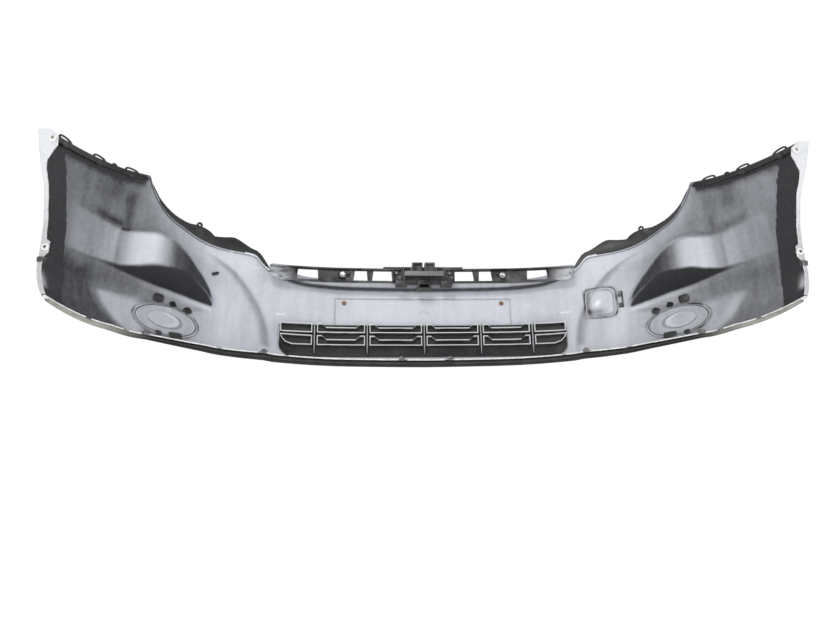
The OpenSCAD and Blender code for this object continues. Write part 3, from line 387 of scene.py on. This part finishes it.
    # arch return flanges
    wr=[r for r in range(NRW) if wall[r]]
    arch_v=[]
    for side in (0,C-1):
        sd=-1 if side==0 else 1
        s=S_[wr,side]; z=Zo[wr,side]; D=Do[wr,side]
        n3=np.c_[nrm(s),np.zeros(len(s))]; t3=np.c_[tang(s),np.zeros(len(s))]*sd
        cen=at(s,D-RA,z); w=lk(z,ARCHW)
        cols_o=[];cols_i=[]
        for a in np.radians([22,45,67,90]):
            cols_o.append(cen+n3*RA*np.cos(a)+t3*RA*np.sin(a)); cols_i.append(cen+n3*(RA-T)*np.cos(a)+t3*(RA-T)*np.sin(a))
        for k in np.linspace(0,1,8)[1:]:
            kk=((w-RA)*k)[:,None]
            lip=(2.2*ss((k-0.72)/0.28))
            cols_o.append(cen+t3*(RA-0*lip)-n3*kk); cols_i.append(cen+t3*(RA-T)-n3*kk)
        prev=idx[wr,side]
        for co_,ci_ in zip(cols_o,cols_i):
            b0=len(Po); Po=np.vstack([Po,co_]); Pi=np.vstack([Pi,ci_]); cur=np.arange(b0,b0+len(wr))
            sf=np.r_[sf,s]; zf=np.r_[zf,z]; arch_v.append((b0,len(Po)))
            for m in range(len(wr)-1):
                f=(int(prev[m]),int(cur[m]),int(cur[m+1]),int(prev[m+1]))
                F.append(f if sd>0 else tuple(reversed(f)))
            prev=cur
    V,FF,tg=sheet2(Po,Pi,F)
    n=len(Po)
    zbv=np.interp(sf/S0, q, zb); ztv=ztop_s(sf)
    ztv=np.where(np.abs(sf)>S0, float(ztop_s(S0))+(457-float(ztop_s(S0)))*np.clip((np.abs(sf)-S0)/(s_end(457)-S0),0,1), ztv)
    sp=overspray_and_painted_light_map(sf,zf,zbv,ztv)
    kf_=np.array([{"flange":0,"arc":1,"wall":2,"ledge":3,"up":4}[k] for k in kinds]).repeat(C)
    kk=np.full(n,2); kk[:NRW*C]=kf_
    # ledge underside, foot of the upstand and the top bend into the ledge are made dark: partly bare plastic, partly
    # painted shade
    sp=np.where((kk==3), 0.02, sp)
    isup=(kk==4); sp=np.where(isup&(np.abs(plx(sf))<430), 0.60, sp)
    up_hi=isup&(zf<ztv+1.5); sp=np.where(up_hi&(np.abs(plx(sf))<430),0.03,sp)
    topr=(np.arange(n)<NRW*C)&(kk==1)&(zf>ztv-7); sp=np.where(topr&(np.abs(plx(sf))<430), sp*0.5, sp)
    sp=np.where(kk==0, 0.35, sp)
    overspray_and_painted_light=np.r_[np.ones(n),sp]
    for a,b in arch_v: overspray_and_painted_light[n+a:n+b]=0.02
    # lighter bottom flange edge, and white smears under the middle grommets
    wh=np.zeros(2*n)
    fl=(kk==0)|((kk==1)&(zf<zbv+7))
    wh[:n]=np.where(fl,0.75,0); wh[n:]=np.where(kk==0,0.55,0)
    a_=np.abs(sf); sm=np.exp(-((a_-1040)/9)**2)*ss((z_hi(sf)-zf)/40)*ss((zf-118)/20)*ss((zf-100)/10)
    wh[n:]=np.maximum(wh[n:], 0.5*sm*(a_>lk(zf,BAND)))
    for s0_,s1_,z_,k_ in ((-436,-402,173,0.8),(406,443,177.5,0.75),(-133,-124,174,0.7),(135,143,161,0.55),(-575,-561,346,0.5),(300,332,205,0.3),(-330,-300,150,0.3)):
        wh[n:]=np.maximum(wh[n:], k_*ss((sf-s0_)/6)*ss((s1_-sf)/6)*np.exp(-((zf-z_-0.05*(sf-s0_))/1.8)**2))
    # the arch return flanges' paint is lightened over the car's light silver: a painted highlight on these rear-facing
    # faces
    for a,b in arch_v: wh[a:b]=0.9
    gr=np.zeros(2*n)
    # dark lines round the towing eye cover and the lamp covers
    ht=h_tow(sf,zf); hf=h_fog(sf,zf)
    ang=np.arctan2(zf-ZT,sf-ST); gr[n:]=(0.35+0.30*np.sin(3*ang+1.0))*np.exp(-(ht/3.4)**2)+0.18*np.exp(-(hf/2.2)**2)
    gr[n:]=np.maximum(gr[n:],0.5*np.exp(-(((sf-486)/12)**2+((zf-176)/26)**2)))
    hg=h_grille(sf,zf); gr[n:]=np.maximum(gr[n:],0.6*np.exp(-(np.minimum(hg,50)/2.6)**2)*(np.abs(sf)<440))
    wear=np.clip(ss((zbv+26-zf)/26),0,1); wear=np.r_[wear,wear]
    mi=np.where(tg==0,0,np.where(tg==1,1,2))
    ob=build("cover_moulding",M(V),FF,"root",SKIN_NODES,(MP,MS,ME),mi,
             dict(overspray_and_painted_light=overspray_and_painted_light,white=np.clip(wh,0,1),grime=np.clip(gr,0,1),wear=wear),sharp=42,merge=0)
    return ob
def z_hi(s): return 178.0+0*s

# ================================================================ dressed copies of the CAD pieces
def dress(node, body, mats, bevel=0.0006, seg=2, attr=None, sharp=35, name=None, sub=None):
    """a finer mesh in a CAD piece's place: welded, rounded edges, with its own attributes"""
    src=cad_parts[node].data; me=src.copy(); me.name=(name or node)+"_mesh"
    bm=bmesh.new(); bm.from_mesh(me)
    bmesh.ops.remove_doubles(bm, verts=bm.verts, dist=2e-6)
    bmesh.ops.dissolve_limit(bm, angle_limit=math.radians(1.0), verts=bm.verts, edges=bm.edges)
    if sub:
        bmesh.ops.triangulate(bm, faces=[f for f in bm.faces if len(f.verts)>4])
        for _ in range(6):
            es=[e for e in bm.edges if e.calc_length()>sub]
            if not es: break
            bmesh.ops.subdivide_edges(bm, edges=es, cuts=1, use_grid_fill=False)
    bm.to_mesh(me); bm.free()
    while me.materials: me.materials.pop(index=0)
    for m in mats: me.materials.append(m)
    me.polygons.foreach_set("material_index",[0]*len(me.polygons))
    me.polygons.foreach_set("use_smooth",[True]*len(me.polygons))
    ob=bpy.data.objects.new((name or node)+"_moulded", me); bpy.context.scene.collection.objects.link(ob)
    if bevel:
        b=ob.modifiers.new("edges","BEVEL"); b.width=bevel; b.segments=seg; b.limit_method="ANGLE"; b.angle_limit=math.radians(sharp); b.use_clamp_overlap=True; b.harden_normals=False
        dg=bpy.context.evaluated_depsgraph_get(); ev=ob.evaluated_get(dg); m2=bpy.data.meshes.new_from_object(ev)
        ob.modifiers.clear(); ob.data=m2; me=m2
    me.polygons.foreach_set("use_smooth",[True]*len(me.polygons)); me.set_sharp_from_angle(angle=math.radians(32))
    if attr:
        co=np.zeros(len(me.vertices)*3); me.vertices.foreach_get("co",co); co=co.reshape(-1,3)*1000+ORG
        for k,f in attr.items():
            a=me.attributes.get(k) or me.attributes.new(k,"FLOAT","POINT"); a.data.foreach_set("value",np.asarray(f(co),np.float32))
    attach(ob, body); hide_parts(node)
    return ob
def plan_sd(co):
    """nearest plan-curve station and inward offset of points"""
    ss_=np.linspace(-CUM[-1],CUM[-1],4001); X=plx(ss_); Y=ply(ss_)
    out_s=np.zeros(len(co)); out_d=np.zeros(len(co))
    for i in range(0,len(co),2000):
        c=co[i:i+2000]; d2=(c[:,0:1]-X[None])**2+(c[:,1:2]-Y[None])**2; k=np.argmin(d2,1)
        n=nrm(ss_[k]); out_s[i:i+2000]=ss_[k]; out_d[i:i+2000]=(c[:,0]-X[k])*n[:,0]+(c[:,1]-Y[k])*n[:,1]
    return out_s,out_d

def lamp_cover(side, name):
    """blanking cover: rim bead, groove and a raised off-centre oval on the inside"""
    nk=144; rr=[0.0,0.08,0.16,0.24,0.32,0.38,0.42,0.445,0.46,0.475,0.49,0.505,0.52,0.54,0.57,0.62,0.68,0.74,0.80,0.845,0.87,0.885,0.90,0.915,0.93,0.945,0.96,0.975,0.988,1.0]
    fz=[7.4,7.3,7.2,7.0,6.8,6.7,6.9,7.8,8.4,8.5,8.3,7.2,5.6,4.6,4.2,4.0,3.9,3.8,3.8,3.8,4.3,5.2,5.6,5.2,4.2,3.5,3.6,5.2,6.2,5.9]
    Po=[];Pi=[]
    c,n_=math.cos(FT),math.sin(FT)
    def pt(r,a,lay,dep):
        f=ss((0.60-r)/0.22); o=(17*f,5.5*f)
        u=r*(FOG_A-1.2)*math.cos(a)+o[0]*1.0; v=r*(FOG_B-1.2)*math.sin(a)+o[1]*0.4
        s=SF+u*c-v*n_; z=ZF+u*n_+v*c
        x=np.abs(plx(s)); D=crown(x,z,zbot(s/S0))+fogpan(x,z)
        p=at(s,D-dep,z); return [side*float(p[0]),float(p[1]),float(p[2])]
    V=[];F=[];sp=[]
    layers=[]
    for lay in (0,1):
        ids=[]
        for j,r in enumerate(rr):
            if r==0: V.append(pt(0,0,lay,0.6 if lay==0 else fz[0])); sp.append(0.72); ids.append([len(V)-1]*nk); continue
            row=[]
            for k in range(nk):
                a=2*math.pi*k/nk
                dep=(0.6+1.0*float(ss((r-0.96)/0.04))) if lay==0 else fz[j]
                V.append(pt(r,a,lay,dep)); row.append(len(V)-1)
                # tone bands follow the cover's relief: painted highlights on the raised oval and the rim bead, painted
                # shade on the oval's falling edge and in the groove
                sh=0.74-0.10*float(ss((r-0.5)/0.3)); 
                if 0.41<r<0.5: sh+=0.16
                if 0.50<r<0.56: sh-=0.26
                if 0.87<r<0.92: sh+=0.10
                if 0.925<r<0.965: sh-=0.45
                sp.append(sh)
            ids.append(row)
        layers.append(ids)
    for lay,ids in enumerate(layers):
        for j in range(len(rr)-1):
            for k in range(nk):
                k2=(k+1)%nk
                f=(ids[j][k],ids[j+1][k],ids[j+1][k2]) if j==0 else (ids[j][k],ids[j+1][k],ids[j+1][k2],ids[j][k2])
                F.append(f)
    for k in range(nk):
        k2=(k+1)%nk; F.append((layers[0][-1][k],layers[1][-1][k],layers[1][-1][k2],layers[0][-1][k2]))
    mi=[0]*(len(rr)-1)*nk+[1]*(len(rr)-1)*nk+[1]*nk
    n=len(V)
    return build(name+"_shell",M(V),F,name,(name,),(MP,MS),mi,dict(overspray_and_painted_light=sp,white=np.zeros(n),grime=np.zeros(n),wear=np.zeros(n)),sharp=50,merge=0)

def tow_cover():
    n=44; a=TOW/2-1.8; r=22
    Po=[];Pi=[]
    def pt(i,j,lay):
        u=-a+2*a*i/n; v=-a+2*a*j/n
        # squircle-like rounding
        p=max(abs(u),abs(v))/a; ang=math.atan2(v,u)
        e=5.0; k=(abs(math.cos(ang))**e+abs(math.sin(ang))**e)**(-1/e)
        uu=p*a*k*math.cos(ang); vv=p*a*k*math.sin(ang)
        s=ST+uu; z=ZT+vv; x=float(np.abs(plx(s)))
        D=float(crown(x,z,zbot(s/S0))+groove(x,z))
        dep=0.5+0.8*float(ss((p-0.95)/0.05)) if lay==0 else 2.6-0.9*float(ss((uu-a+9)/6))+2.4*float(ss((p-0.82)/0.05)*ss((0.955-p)/0.04)*ss((a-9-uu)/5))+0.5*float(ss((0.55-p)/0.1))
        q_=at(s,D-dep,z); return [float(q_[0]),float(q_[1]),float(q_[2])],p,uu,vv
    Lo=[];Li=[];sp=[];gr=[];wh=[]
    for lay in (0,1):
        for i in range(n+1):
            for j in range(n+1):
                P,p,u,v=pt(i,j,lay); (Lo if lay==0 else Li).append(P)
                if lay==1:
                    sp.append(0.95-0.35*float(ss((p-0.80)/0.06)*ss((0.99-p)/0.05)))
                    gr.append(0.55*float(np.exp(-((v+27)/9)**2)*ss((-u+30)/40))+0.5*float(np.exp(-(((u+33)/7)**2))) )
                    wh.append(0.9*float(np.exp(-(((u+8)/9)**2+((v-4-0.6*u)/9)**2))))
    F=[(i*(n+1)+j,(i+1)*(n+1)+j,(i+1)*(n+1)+j+1,i*(n+1)+j+1) for i in range(n) for j in range(n)]
    V,FF,tg=sheet2(np.array(Lo),np.array(Li),F); m=len(Lo)
    return build("tow_eye_cover_shell",M(V),FF,"tow_eye_cover",("tow_eye_cover",),(MP,MS,ME),tg,
        dict(overspray_and_painted_light=np.r_[np.ones(m),sp],white=np.r_[np.zeros(m),wh],grime=np.r_[np.zeros(m),gr],wear=np.zeros(2*m)),sharp=50,merge=0)

def lump(name, s, z, w, h, dep, side=1, body="root", mat=None, off=0.0, tilt=0.0, lip=0.35):
    """small moulded clip standing on the inner face: rounded block with a hooked lip"""
    V=[];F=[]
    prof=[(0.0,1.0,1.0),(0.55,1.0,1.0),(0.8,1.0+lip*0.3,1.0+lip*0.3),(0.92,0.94,0.94),(1.0,0.70,0.70)]
    nb=28
    for (k,ws,hs) in prof:
        for m in range(nb):
            a=2*math.pi*m/nb; e=4.0; q_=(abs(math.cos(a))**e+abs(math.sin(a))**e)**(-1/e)
            u=w/2*ws*q_*math.cos(a); v=h/2*hs*q_*math.sin(a)
            u,v=u*math.cos(tilt)-v*math.sin(tilt),u*math.sin(tilt)+v*math.cos(tilt)
            ss1=s+u; zz=z+v; D=float(Dof(ss1,zz,zbot(ss1/S0)))
            p=at(ss1,D-T+0.3-k*dep-off,zz); V.append([side*float(p[0]),float(p[1]),float(p[2])])
    n=len(prof)
    for j in range(n-1):
        for m in range(nb): F.append((j*nb+m,j*nb+(m+1)%nb,(j+1)*nb+(m+1)%nb,(j+1)*nb+m))
    F.append(tuple(range(nb))); F.append(tuple((n-1)*nb+m for m in range(nb-1,-1,-1)))
    return build(name,M(V),F,body,(),(mat,),None,None,sharp=40)

def chin():
    nq=241; q_=[]
    for k in range(nq):
        u=-1+2*k/(nq-1); q_.append(u/0.62 if abs(u)<0.62 else math.copysign(1+(abs(u)-0.62)/0.38*0.9,u))
    V=[];F=[];dust=[]
    for q in q_:
        zb=float(zbot(q)); s=float(qs(q,zb)); d0=float(Dof(s,zb,zb)); s1=float(qs(q,zb+16)); d1=float(Dof(s1,zb+16,zb))
        w=float(WFq(q))-4; r=0.17*w
        P=[(s1,d1+0.25,zb+15.8),(s1,d1+1.6,zb+16.0),(s1,d1+2.9,zb+14.6),((s+s1)/2,(d0+d1)/2+3.4,zb+7.0),(s,d0+3.2,zb+0.6),(s,d0+1.8,zb-2.4),(s,d0-1.4,zb-3.3),
           (s,d0-0.22*w,zb-3.2+0.22*r),(s,d0-0.45*w,zb-3.3+0.45*r),(s,d0-0.5*w,zb-2.6+0.5*r),(s,d0-0.55*w,zb-3.3+0.55*r),(s,d0-0.8*w,zb-3.2+0.8*r),(s,d0-w+1.0,zb-3.3+r),(s,d0-w,zb-2.4+r),(s,d0-w,zb-0.8+r),(s,d0-w+1.2,zb-0.4+r),
           (s,d0-0.5*w,zb-0.4+0.5*r),(s,d0+0.2,zb-0.3)]
        for p in P:
            v=at(*p); V.append([float(v[0]),float(v[1]),float(v[2])])
            dust.append(float(ss((abs(s)-760)/170)))
    n=18
    for i in range(nq-1):
        for k in range(n): F.append((i*n+k,(i+1)*n+k,(i+1)*n+(k+1)%n,i*n+(k+1)%n))
    F.append(tuple(range(n))); F.append(tuple((nq-1)*n+k for k in range(n-1,-1,-1)))
    return build("chin_strip_moulded",M(V),F,"root",("chin_strip",),(MC,),None,dict(dust=dust),sharp=45)

def retainer(side, name):
    SE=float(s_end(457))-26; S1=SW
    def zw(s): return float(ztop_s(min(s,S0)))+((457-float(ztop_s(S0)))*(s-S0)/(float(s_end(457))-S0) if s>S0 else 0)
    V=[];F=[]
    def add(v,f):
        b=len(V); V.extend(v); F.extend([tuple(x+b for x in g) for g in f])
    m=81; prof=[(8.5,-9.0),(8.4,4.2),(9.1,5.0),(11.7,5.0),(12.4,4.2),(12.4,-4),(11.6,-5.5),(12.2,-7),(12.2,-8.6),(11.6,-9.4),(9.0,-9.4)]
    P=[]
    for k in range(m):
        s=S1+4+(SE-S1-4)*k/(m-1); z=zw(s)
        dip=0.0
        P.append([list(map(float,at(s,-d,z+h+dip))) for d,h in prof])
    v,f=tube(P,lambda i:P[i]); add(v,f)
    for fr,l,h in ((0.13,40,9.6),(0.26,15,6),(0.38,40,9.6),(0.66,44,9.8)):
        c=S1+fr*395; R=[]
        for k in range(33):
            a=math.pi*k/32; z=zw(c)+4
            u=-math.cos(a)*l/2; vv=math.sin(a)**0.7*h if math.sin(a)>0 else 0
            u2=-math.cos(a)*(l/2-5.2); v2=(math.sin(a)**0.7 if math.sin(a)>0 else 0)*(h-4.4)
            ring=[]
            for (t_,dd_) in ((0,-11.7),(0.25,-12.0),(0.75,-12.0),(1,-11.7),(1,-9.0),(0.75,-8.7),(0.25,-8.7),(0,-9.0)):
                ring.append(list(map(float,at(c+u+(u2-u)*t_,dd_,z+vv+(v2-vv)*t_))))
            R.append(ring)
        v,f=tube(R,lambda i:R[i]); add(v,f)
        # small latch tongue under each loop longer than 20 mm
        if l>20:
            ring=[]
            for k,(hh,dd_) in enumerate(((-2,13.2),(-6,14.6),(-11,13.4),(-13,12.3))):
                ring.append([list(map(float,at(c+su,-dx,zw(c)+hh))) for su,dx in ((-7,12.2),(7,12.2),(6.2,dd_),(-6.2,dd_))])
            v,f=tube(ring,lambda i:ring[i]); add(v,f)
    V=[[side*p[0],p[1],p[2]] for p in V]
    return build(name+"_moulded",M(V),F,"root",(name,),(MK,),None,None,sharp=40,merge=0)

def rebate(name, side, path, D_of, k0, k1, dep=1.5):
    """thin rebate ring on the inner face that a cover closes against"""
    n=len(path(0)); A=path(k0); B=path(k1); V=[]; F=[]
    for (s,z),(s2,z2) in zip(A,B):
        for (sa,za,dd) in ((s,z,T-0.2),(s2,z2,T-0.2),(s2,z2,T+dep*0.8),((s+s2)/2,(z+z2)/2,T+dep),(s,z,T+dep)):
            p=at(sa,D_of(sa,za)-dd,za); V.append([side*float(p[0]),float(p[1]),float(p[2])])
    for i in range(n):
        for k in range(5): a=i*5+k; b=i*5+(k+1)%5; c=((i+1)%n)*5+(k+1)%5; d=((i+1)%n)*5+k; F.append((a,b,c,d))
    return build(name,M(V),F,"root",(),(MRB,),None,None,sharp=40,merge=0)
def fog_path(k):
    c,n_=math.cos(FT),math.sin(FT); R=[]
    for i in range(144):
        a=2*math.pi*i/144; u=(FOG_A+k)*math.cos(a); v=(FOG_B+k)*math.sin(a); R.append((SF+u*c-v*n_,ZF+u*n_+v*c))
    return R
def tow_path(k):
    R=[]
    for i in range(144):
        w_=2*math.pi*i/144; e=5.0; q_=(abs(math.cos(w_))**e+abs(math.sin(w_))**e)**(-1/e)
        R.append((ST+(TOW/2+k)*q_*math.cos(w_), ZT+(TOW/2+k)*q_*math.sin(w_)))
    return R

# ================================================================ materials
MP=m_paint(); MS=m_overspray_and_painted_light(); ME=m_edge()
# near-black with almost no specular: the strip's own black plastic, darkened further as painted shade on this
# downward-facing strip
_c=m_black("chin_plastic",(0.0035,0.0035,0.004),0.03); _c.const(Specular_IOR_Level=0.06)
_f=_c.att("dust"); _old=_c.b.inputs["Base Color"].links[0].from_socket
_c.col(_c.mix(_c.math("MULTIPLY",_f,_c.rng(_c.noise(30,5,0.7),0.2,0.6,0.55,1.0)),_old,(0.30,0.29,0.26))); MC=_c.m
_r=m_black("rebate_plastic",(0.02,0.02,0.022),0.10,(0.4,0.6)); _old=_r.b.inputs["Base Color"].links[0].from_socket
_r.col(_r.mix(_r.rng(_r.noise(21,4,0.6),0.40,0.58),_old,(0.30,0.31,0.335))); MRB=_r.m
_b=m_black("bar_plastic",(0.020,0.020,0.023),0.30,(0.30,0.5)); MB=_b.m
_b2=m_black("bar_end_plastic",(0.020,0.020,0.023),0.30,(0.30,0.5)); _old=_b2.b.inputs["Base Color"].links[0].from_socket
_b2.col(_b2.mix(_b2.math("MULTIPLY",_b2.att("mist"),_b2.rng(_b2.noise(24,5,0.7,(1,1,2.5)),0.36,0.56,0.25,1.0)),_old,(0.50,0.515,0.55))); MBB=_b2.m
MK=m_black("bracket_plastic",(0.012,0.012,0.014),0.07,(0.35,0.5)).m
_g=m_black("grille_plastic",(0.011,0.0115,0.013),0.09,(0.35,0.55)); _g.const(Specular_IOR_Level=0.3)
_old=_g.b.inputs["Base Color"].links[0].from_socket
_x=_g.mix(_g.rng(_g.att("mist"),0.0,1.0),_old,(0.13,0.14,0.155)); _x=_g.mix(_g.att("rear"),_x,(0.66,0.67,0.69)); _g.col(_x); MG=_g.m
MH=m_black("mesh_plastic",(0.010,0.010,0.012),0.12,(0.4,0.6)).m
MZ=m_metal("zinc_bright",(0.62,0.62,0.64),(0.80,0.80,0.82),(0.16,0.32)); MZD=m_metal("zinc_dull",(0.30,0.30,0.32),(0.5,0.5,0.52),(0.3,0.5),(0.16,0.11,0.08))
MST=m_metal("clip_steel",(0.10,0.10,0.11),(0.22,0.22,0.23),(0.3,0.5),(0.20,0.13,0.09))
MR=m_metal("rusted_steel",(0.30,0.17,0.10),(0.45,0.30,0.20),(0.5,0.75),(0.14,0.06,0.03))
_n=Mat("grommet_nylon"); _n.const(Subsurface_Weight=0.1,Roughness=0.4); _a=_n.noise(140,5,0.7)
_q=_n.mix(_n.rng(_a,0.3,0.7),(0.80,0.79,0.76),(0.90,0.895,0.88)); _q=_n.mix(_n.math("MULTIPLY",_n.att("rust"),_n.rng(_a,0.2,0.55,0.6,1.0)),_q,(0.11,0.045,0.025)); _n.col(_q); _n.rough(_n.rng(_a,0.3,0.7,0.32,0.6)); _n.bump(_a,0.15,0.0005); MN=_n.m
_l=m_black("latch_plastic",(0.16,0.16,0.17),0.5,(0.35,0.55)); ML=_l.m

SKIN_NODES=[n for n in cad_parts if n.startswith("bumper_skin") or n.startswith("cover_")]
make_skin()
lamp_cover(1,"fog_cover_right"); lamp_cover(-1,"fog_cover_left"); tow_cover(); chin()
for m_,t_ in ((1,"right"),(-1,"left")):
    rebate("lamp_cover_rebate_"+t_,m_,fog_path,lambda s,z: float(Dof(s,z,zbot(s/S0))),FIT+1.2,-0.5)
rebate("tow_eye_rebate",1,tow_path,lambda s,z: float(Dof(s,z,zbot(s/S0))),FIT+1.6,-1.1)
retainer(1,"fender_retainer_right"); retainer(-1,"fender_retainer_left")

def g_rear(co):
    s,d=plan_sd(co); x=np.abs(co[:,0]); fin=np.min([np.abs(x-v) for v in (0.0,166.0,317.0)],axis=0)
    return ss((-d-24.2)/1.4)*((co[:,2]>78)|(d<-20))*np.where(fin<1.9,0.5,1.0)
def g_mist(co):
    s,d=plan_sd(co); return 0.10*ss((80-co[:,2])/14)+0.10*ss((d+12)/3)
dress("lower_grille","root",(MG,),0.0007,2,dict(rear=g_rear,mist=g_mist),sub=0.03)
dress("grille_backing","root",(MH,),0.0,1)
def b_mist(co):
    a=np.abs(co[:,0]); return ss((a-372)/50)*0.8+0.25*ss((a-250)/100)*(co[:,2]<280)
dress("bridge_bar","root",(MBB,),0.0009,2,dict(mist=b_mist),sub=0.03)
dress("bridge_bar_screws","root",(MZ,),0.0004,2); dress("bridge_bar_washers","root",(MZD,),0.0003,2)
dress("centre_bracket","root",(MB,),0.0011,3); dress("centre_latch","root",(ML,),0.0007,2)
dress("centre_clip_feet","root",(MB,),0.0010,3)
for n in ("headlamp_bracket_left","headlamp_bracket_right"): dress(n,"root",(MK,),0.0006,2)
GR_AX=[]
for m_ in (1,-1):
    for gz,gk in ((436,37),(217,17)):
        s_=float(s_end(gz)); n_=nrm(s_); p_=at(s_,float(Dof(s_,gz,92)),gz)
        GR_AX.append((m_*(p_[0]-n_[0]*gk),p_[1]-n_[1]*gk,gz,m_))
def g_rust(co):
    d=np.full(len(co),99.)
    for x,y,z,m_ in GR_AX:
        ax=np.array([m_*math.sin(math.radians(10)),-math.cos(math.radians(10)),0]); r=co-np.array([x,y,z]); r=r-np.outer(r@ax,ax); d=np.minimum(d,np.linalg.norm(r,axis=1))
    return ss((5.0-d)/1.6)
dress("arch_grommets","root",(MN,),0.0005,2,dict(rust=g_rust),sub=0.0025)
dress("arch_liner_clips","root",(MST,),0.0004,2); dress("undertray_nuts","root",(MST,),0.0003,2)
dress("plate_inserts","root",(MR,),0.0003,2); dress("tow_eye_strap","root",(MRB,),0.0004,2,dict(dust=lambda c:0*c[:,0]))

# spring clips that hold the lamp covers, and two blind studs
CL=[(750,178,25,20,7),(712,166,15,15,6),(675,152,18,18,6),(752,76,14,12,5),(708,75,32,14,6)]
for m_,t_ in ((1,"right"),(-1,"left")):
    for i,(s_,z_,w_,h_,d_) in enumerate(CL):
        lump(f"lamp_cover_clip_{i+1}_{t_}",s_,z_,w_,h_,d_,m_,mat=MK,tilt=(0.12,-0.25,-0.5,0.2,0.05)[i])
lump("blind_stud_upper_left",859,337,17,8,5,-1,mat=MK,tilt=-0.2); lump("blind_stud_lower_left",608,272,17,8,4,-1,mat=MK,tilt=-0.35)

# ================================================================ stage, light, camera
def plane(name,size,loc,rot,mat):
    me=bpy.data.meshes.new(name); h=size/2; bm=bmesh.new(); bmesh.ops.create_grid(bm,x_segments=8,y_segments=8,size=h); bm.to_mesh(me); bm.free()
    o=bpy.data.objects.new(name,me); o.location=loc; o.rotation_euler=rot; me.materials.append(mat); bpy.context.scene.collection.objects.link(o); return o
fl=Mat("studio_floor"); fl.const(Roughness=0.8,Specular_IOR_Level=0.2,Emission_Color=(1,1,1,1),Emission_Strength=0.42); fl.col(fl.mix(fl.rng(fl.noise(1.5,3,0.5),0.3,0.7),(0.94,0.94,0.94),(0.96,0.96,0.96)))
plane("studio_floor",60,(0,0,-1.30),(0,0,0),fl.m)
sc=bpy.context.scene
w=bpy.data.worlds.new("studio"); sc.world=w; w.use_nodes=True; t=w.node_tree
bg=[n for n in t.nodes if n.type=="BACKGROUND"][0]
tc=t.nodes.new("ShaderNodeTexCoord"); sp_=t.nodes.new("ShaderNodeSeparateXYZ"); t.links.new(tc.outputs["Generated"],sp_.inputs[0])
mr=t.nodes.new("ShaderNodeMapRange"); mr.interpolation_type="SMOOTHSTEP"; t.links.new(sp_.outputs["Y"],mr.inputs["Value"])
for k,v in zip(("From Min","From Max","To Min","To Max"),(-0.30,0.45,0.40,1.03)): mr.inputs[k].default_value=v
t.links.new(mr.outputs["Result"],bg.inputs["Strength"]); bg.inputs["Color"].default_value=(0.985,0.99,1.0,1)
def area(name,loc,target,size,power,col=(1,1,1)):
    l=bpy.data.lights.new(name,"AREA"); l.shape="RECTANGLE"; l.size,l.size_y=size; l.energy=power; l.color=col
    o=bpy.data.objects.new(name,l); o.location=loc; d=Vector(target)-Vector(loc); o.rotation_euler=d.to_track_quat("-Z","Y").to_euler(); sc.collection.objects.link(o); return o
area("key",(-0.9,-3.2,1.5),(0.1,-0.2,-0.05),(1.5,1.0),46,(1.0,0.99,0.97))
area("top",(0.2,-0.6,2.6),(0,-0.2,0),(2.6,1.6),14)
area("fill",(2.2,-2.2,0.4),(-0.2,-0.2,-0.05),(1.4,1.4),9,(0.95,0.97,1.0))
sc.view_settings.view_transform="Standard"; sc.view_settings.look="None"; sc.view_settings.exposure=0.0; sc.view_settings.gamma=1.0
cam=bpy.data.cameras.new("photo_view"); cam.sensor_width=36; cam.lens=640/826*36; cam.clip_end=200
co_=bpy.data.objects.new("photo_view",cam); sc.collection.objects.link(co_)
yaw,pit,rol=[math.radians(v) for v in (-3.65,16.49,-1.02)]
cy_,sy_,cp_,sp2,cr_,sr_=math.cos(yaw),math.sin(yaw),math.cos(pit),math.sin(pit),math.cos(rol),math.sin(rol)
right=np.array([cy_,sy_,0]); f0=np.array([-sy_,cy_,0]); u0=np.array([0,0,1.0]); fwd=f0*cp_+u0*sp2; up=-f0*sp2+u0*cp_
r2=right*cr_+up*sr_; u2=-right*sr_+up*cr_
co_.matrix_world=Matrix(((r2[0],u2[0],-fwd[0],-0.147),(r2[1],u2[1],-fwd[1],-1.801),(r2[2],u2[2],-fwd[2],-0.649),(0,0,0,1)))
sc.camera=co_
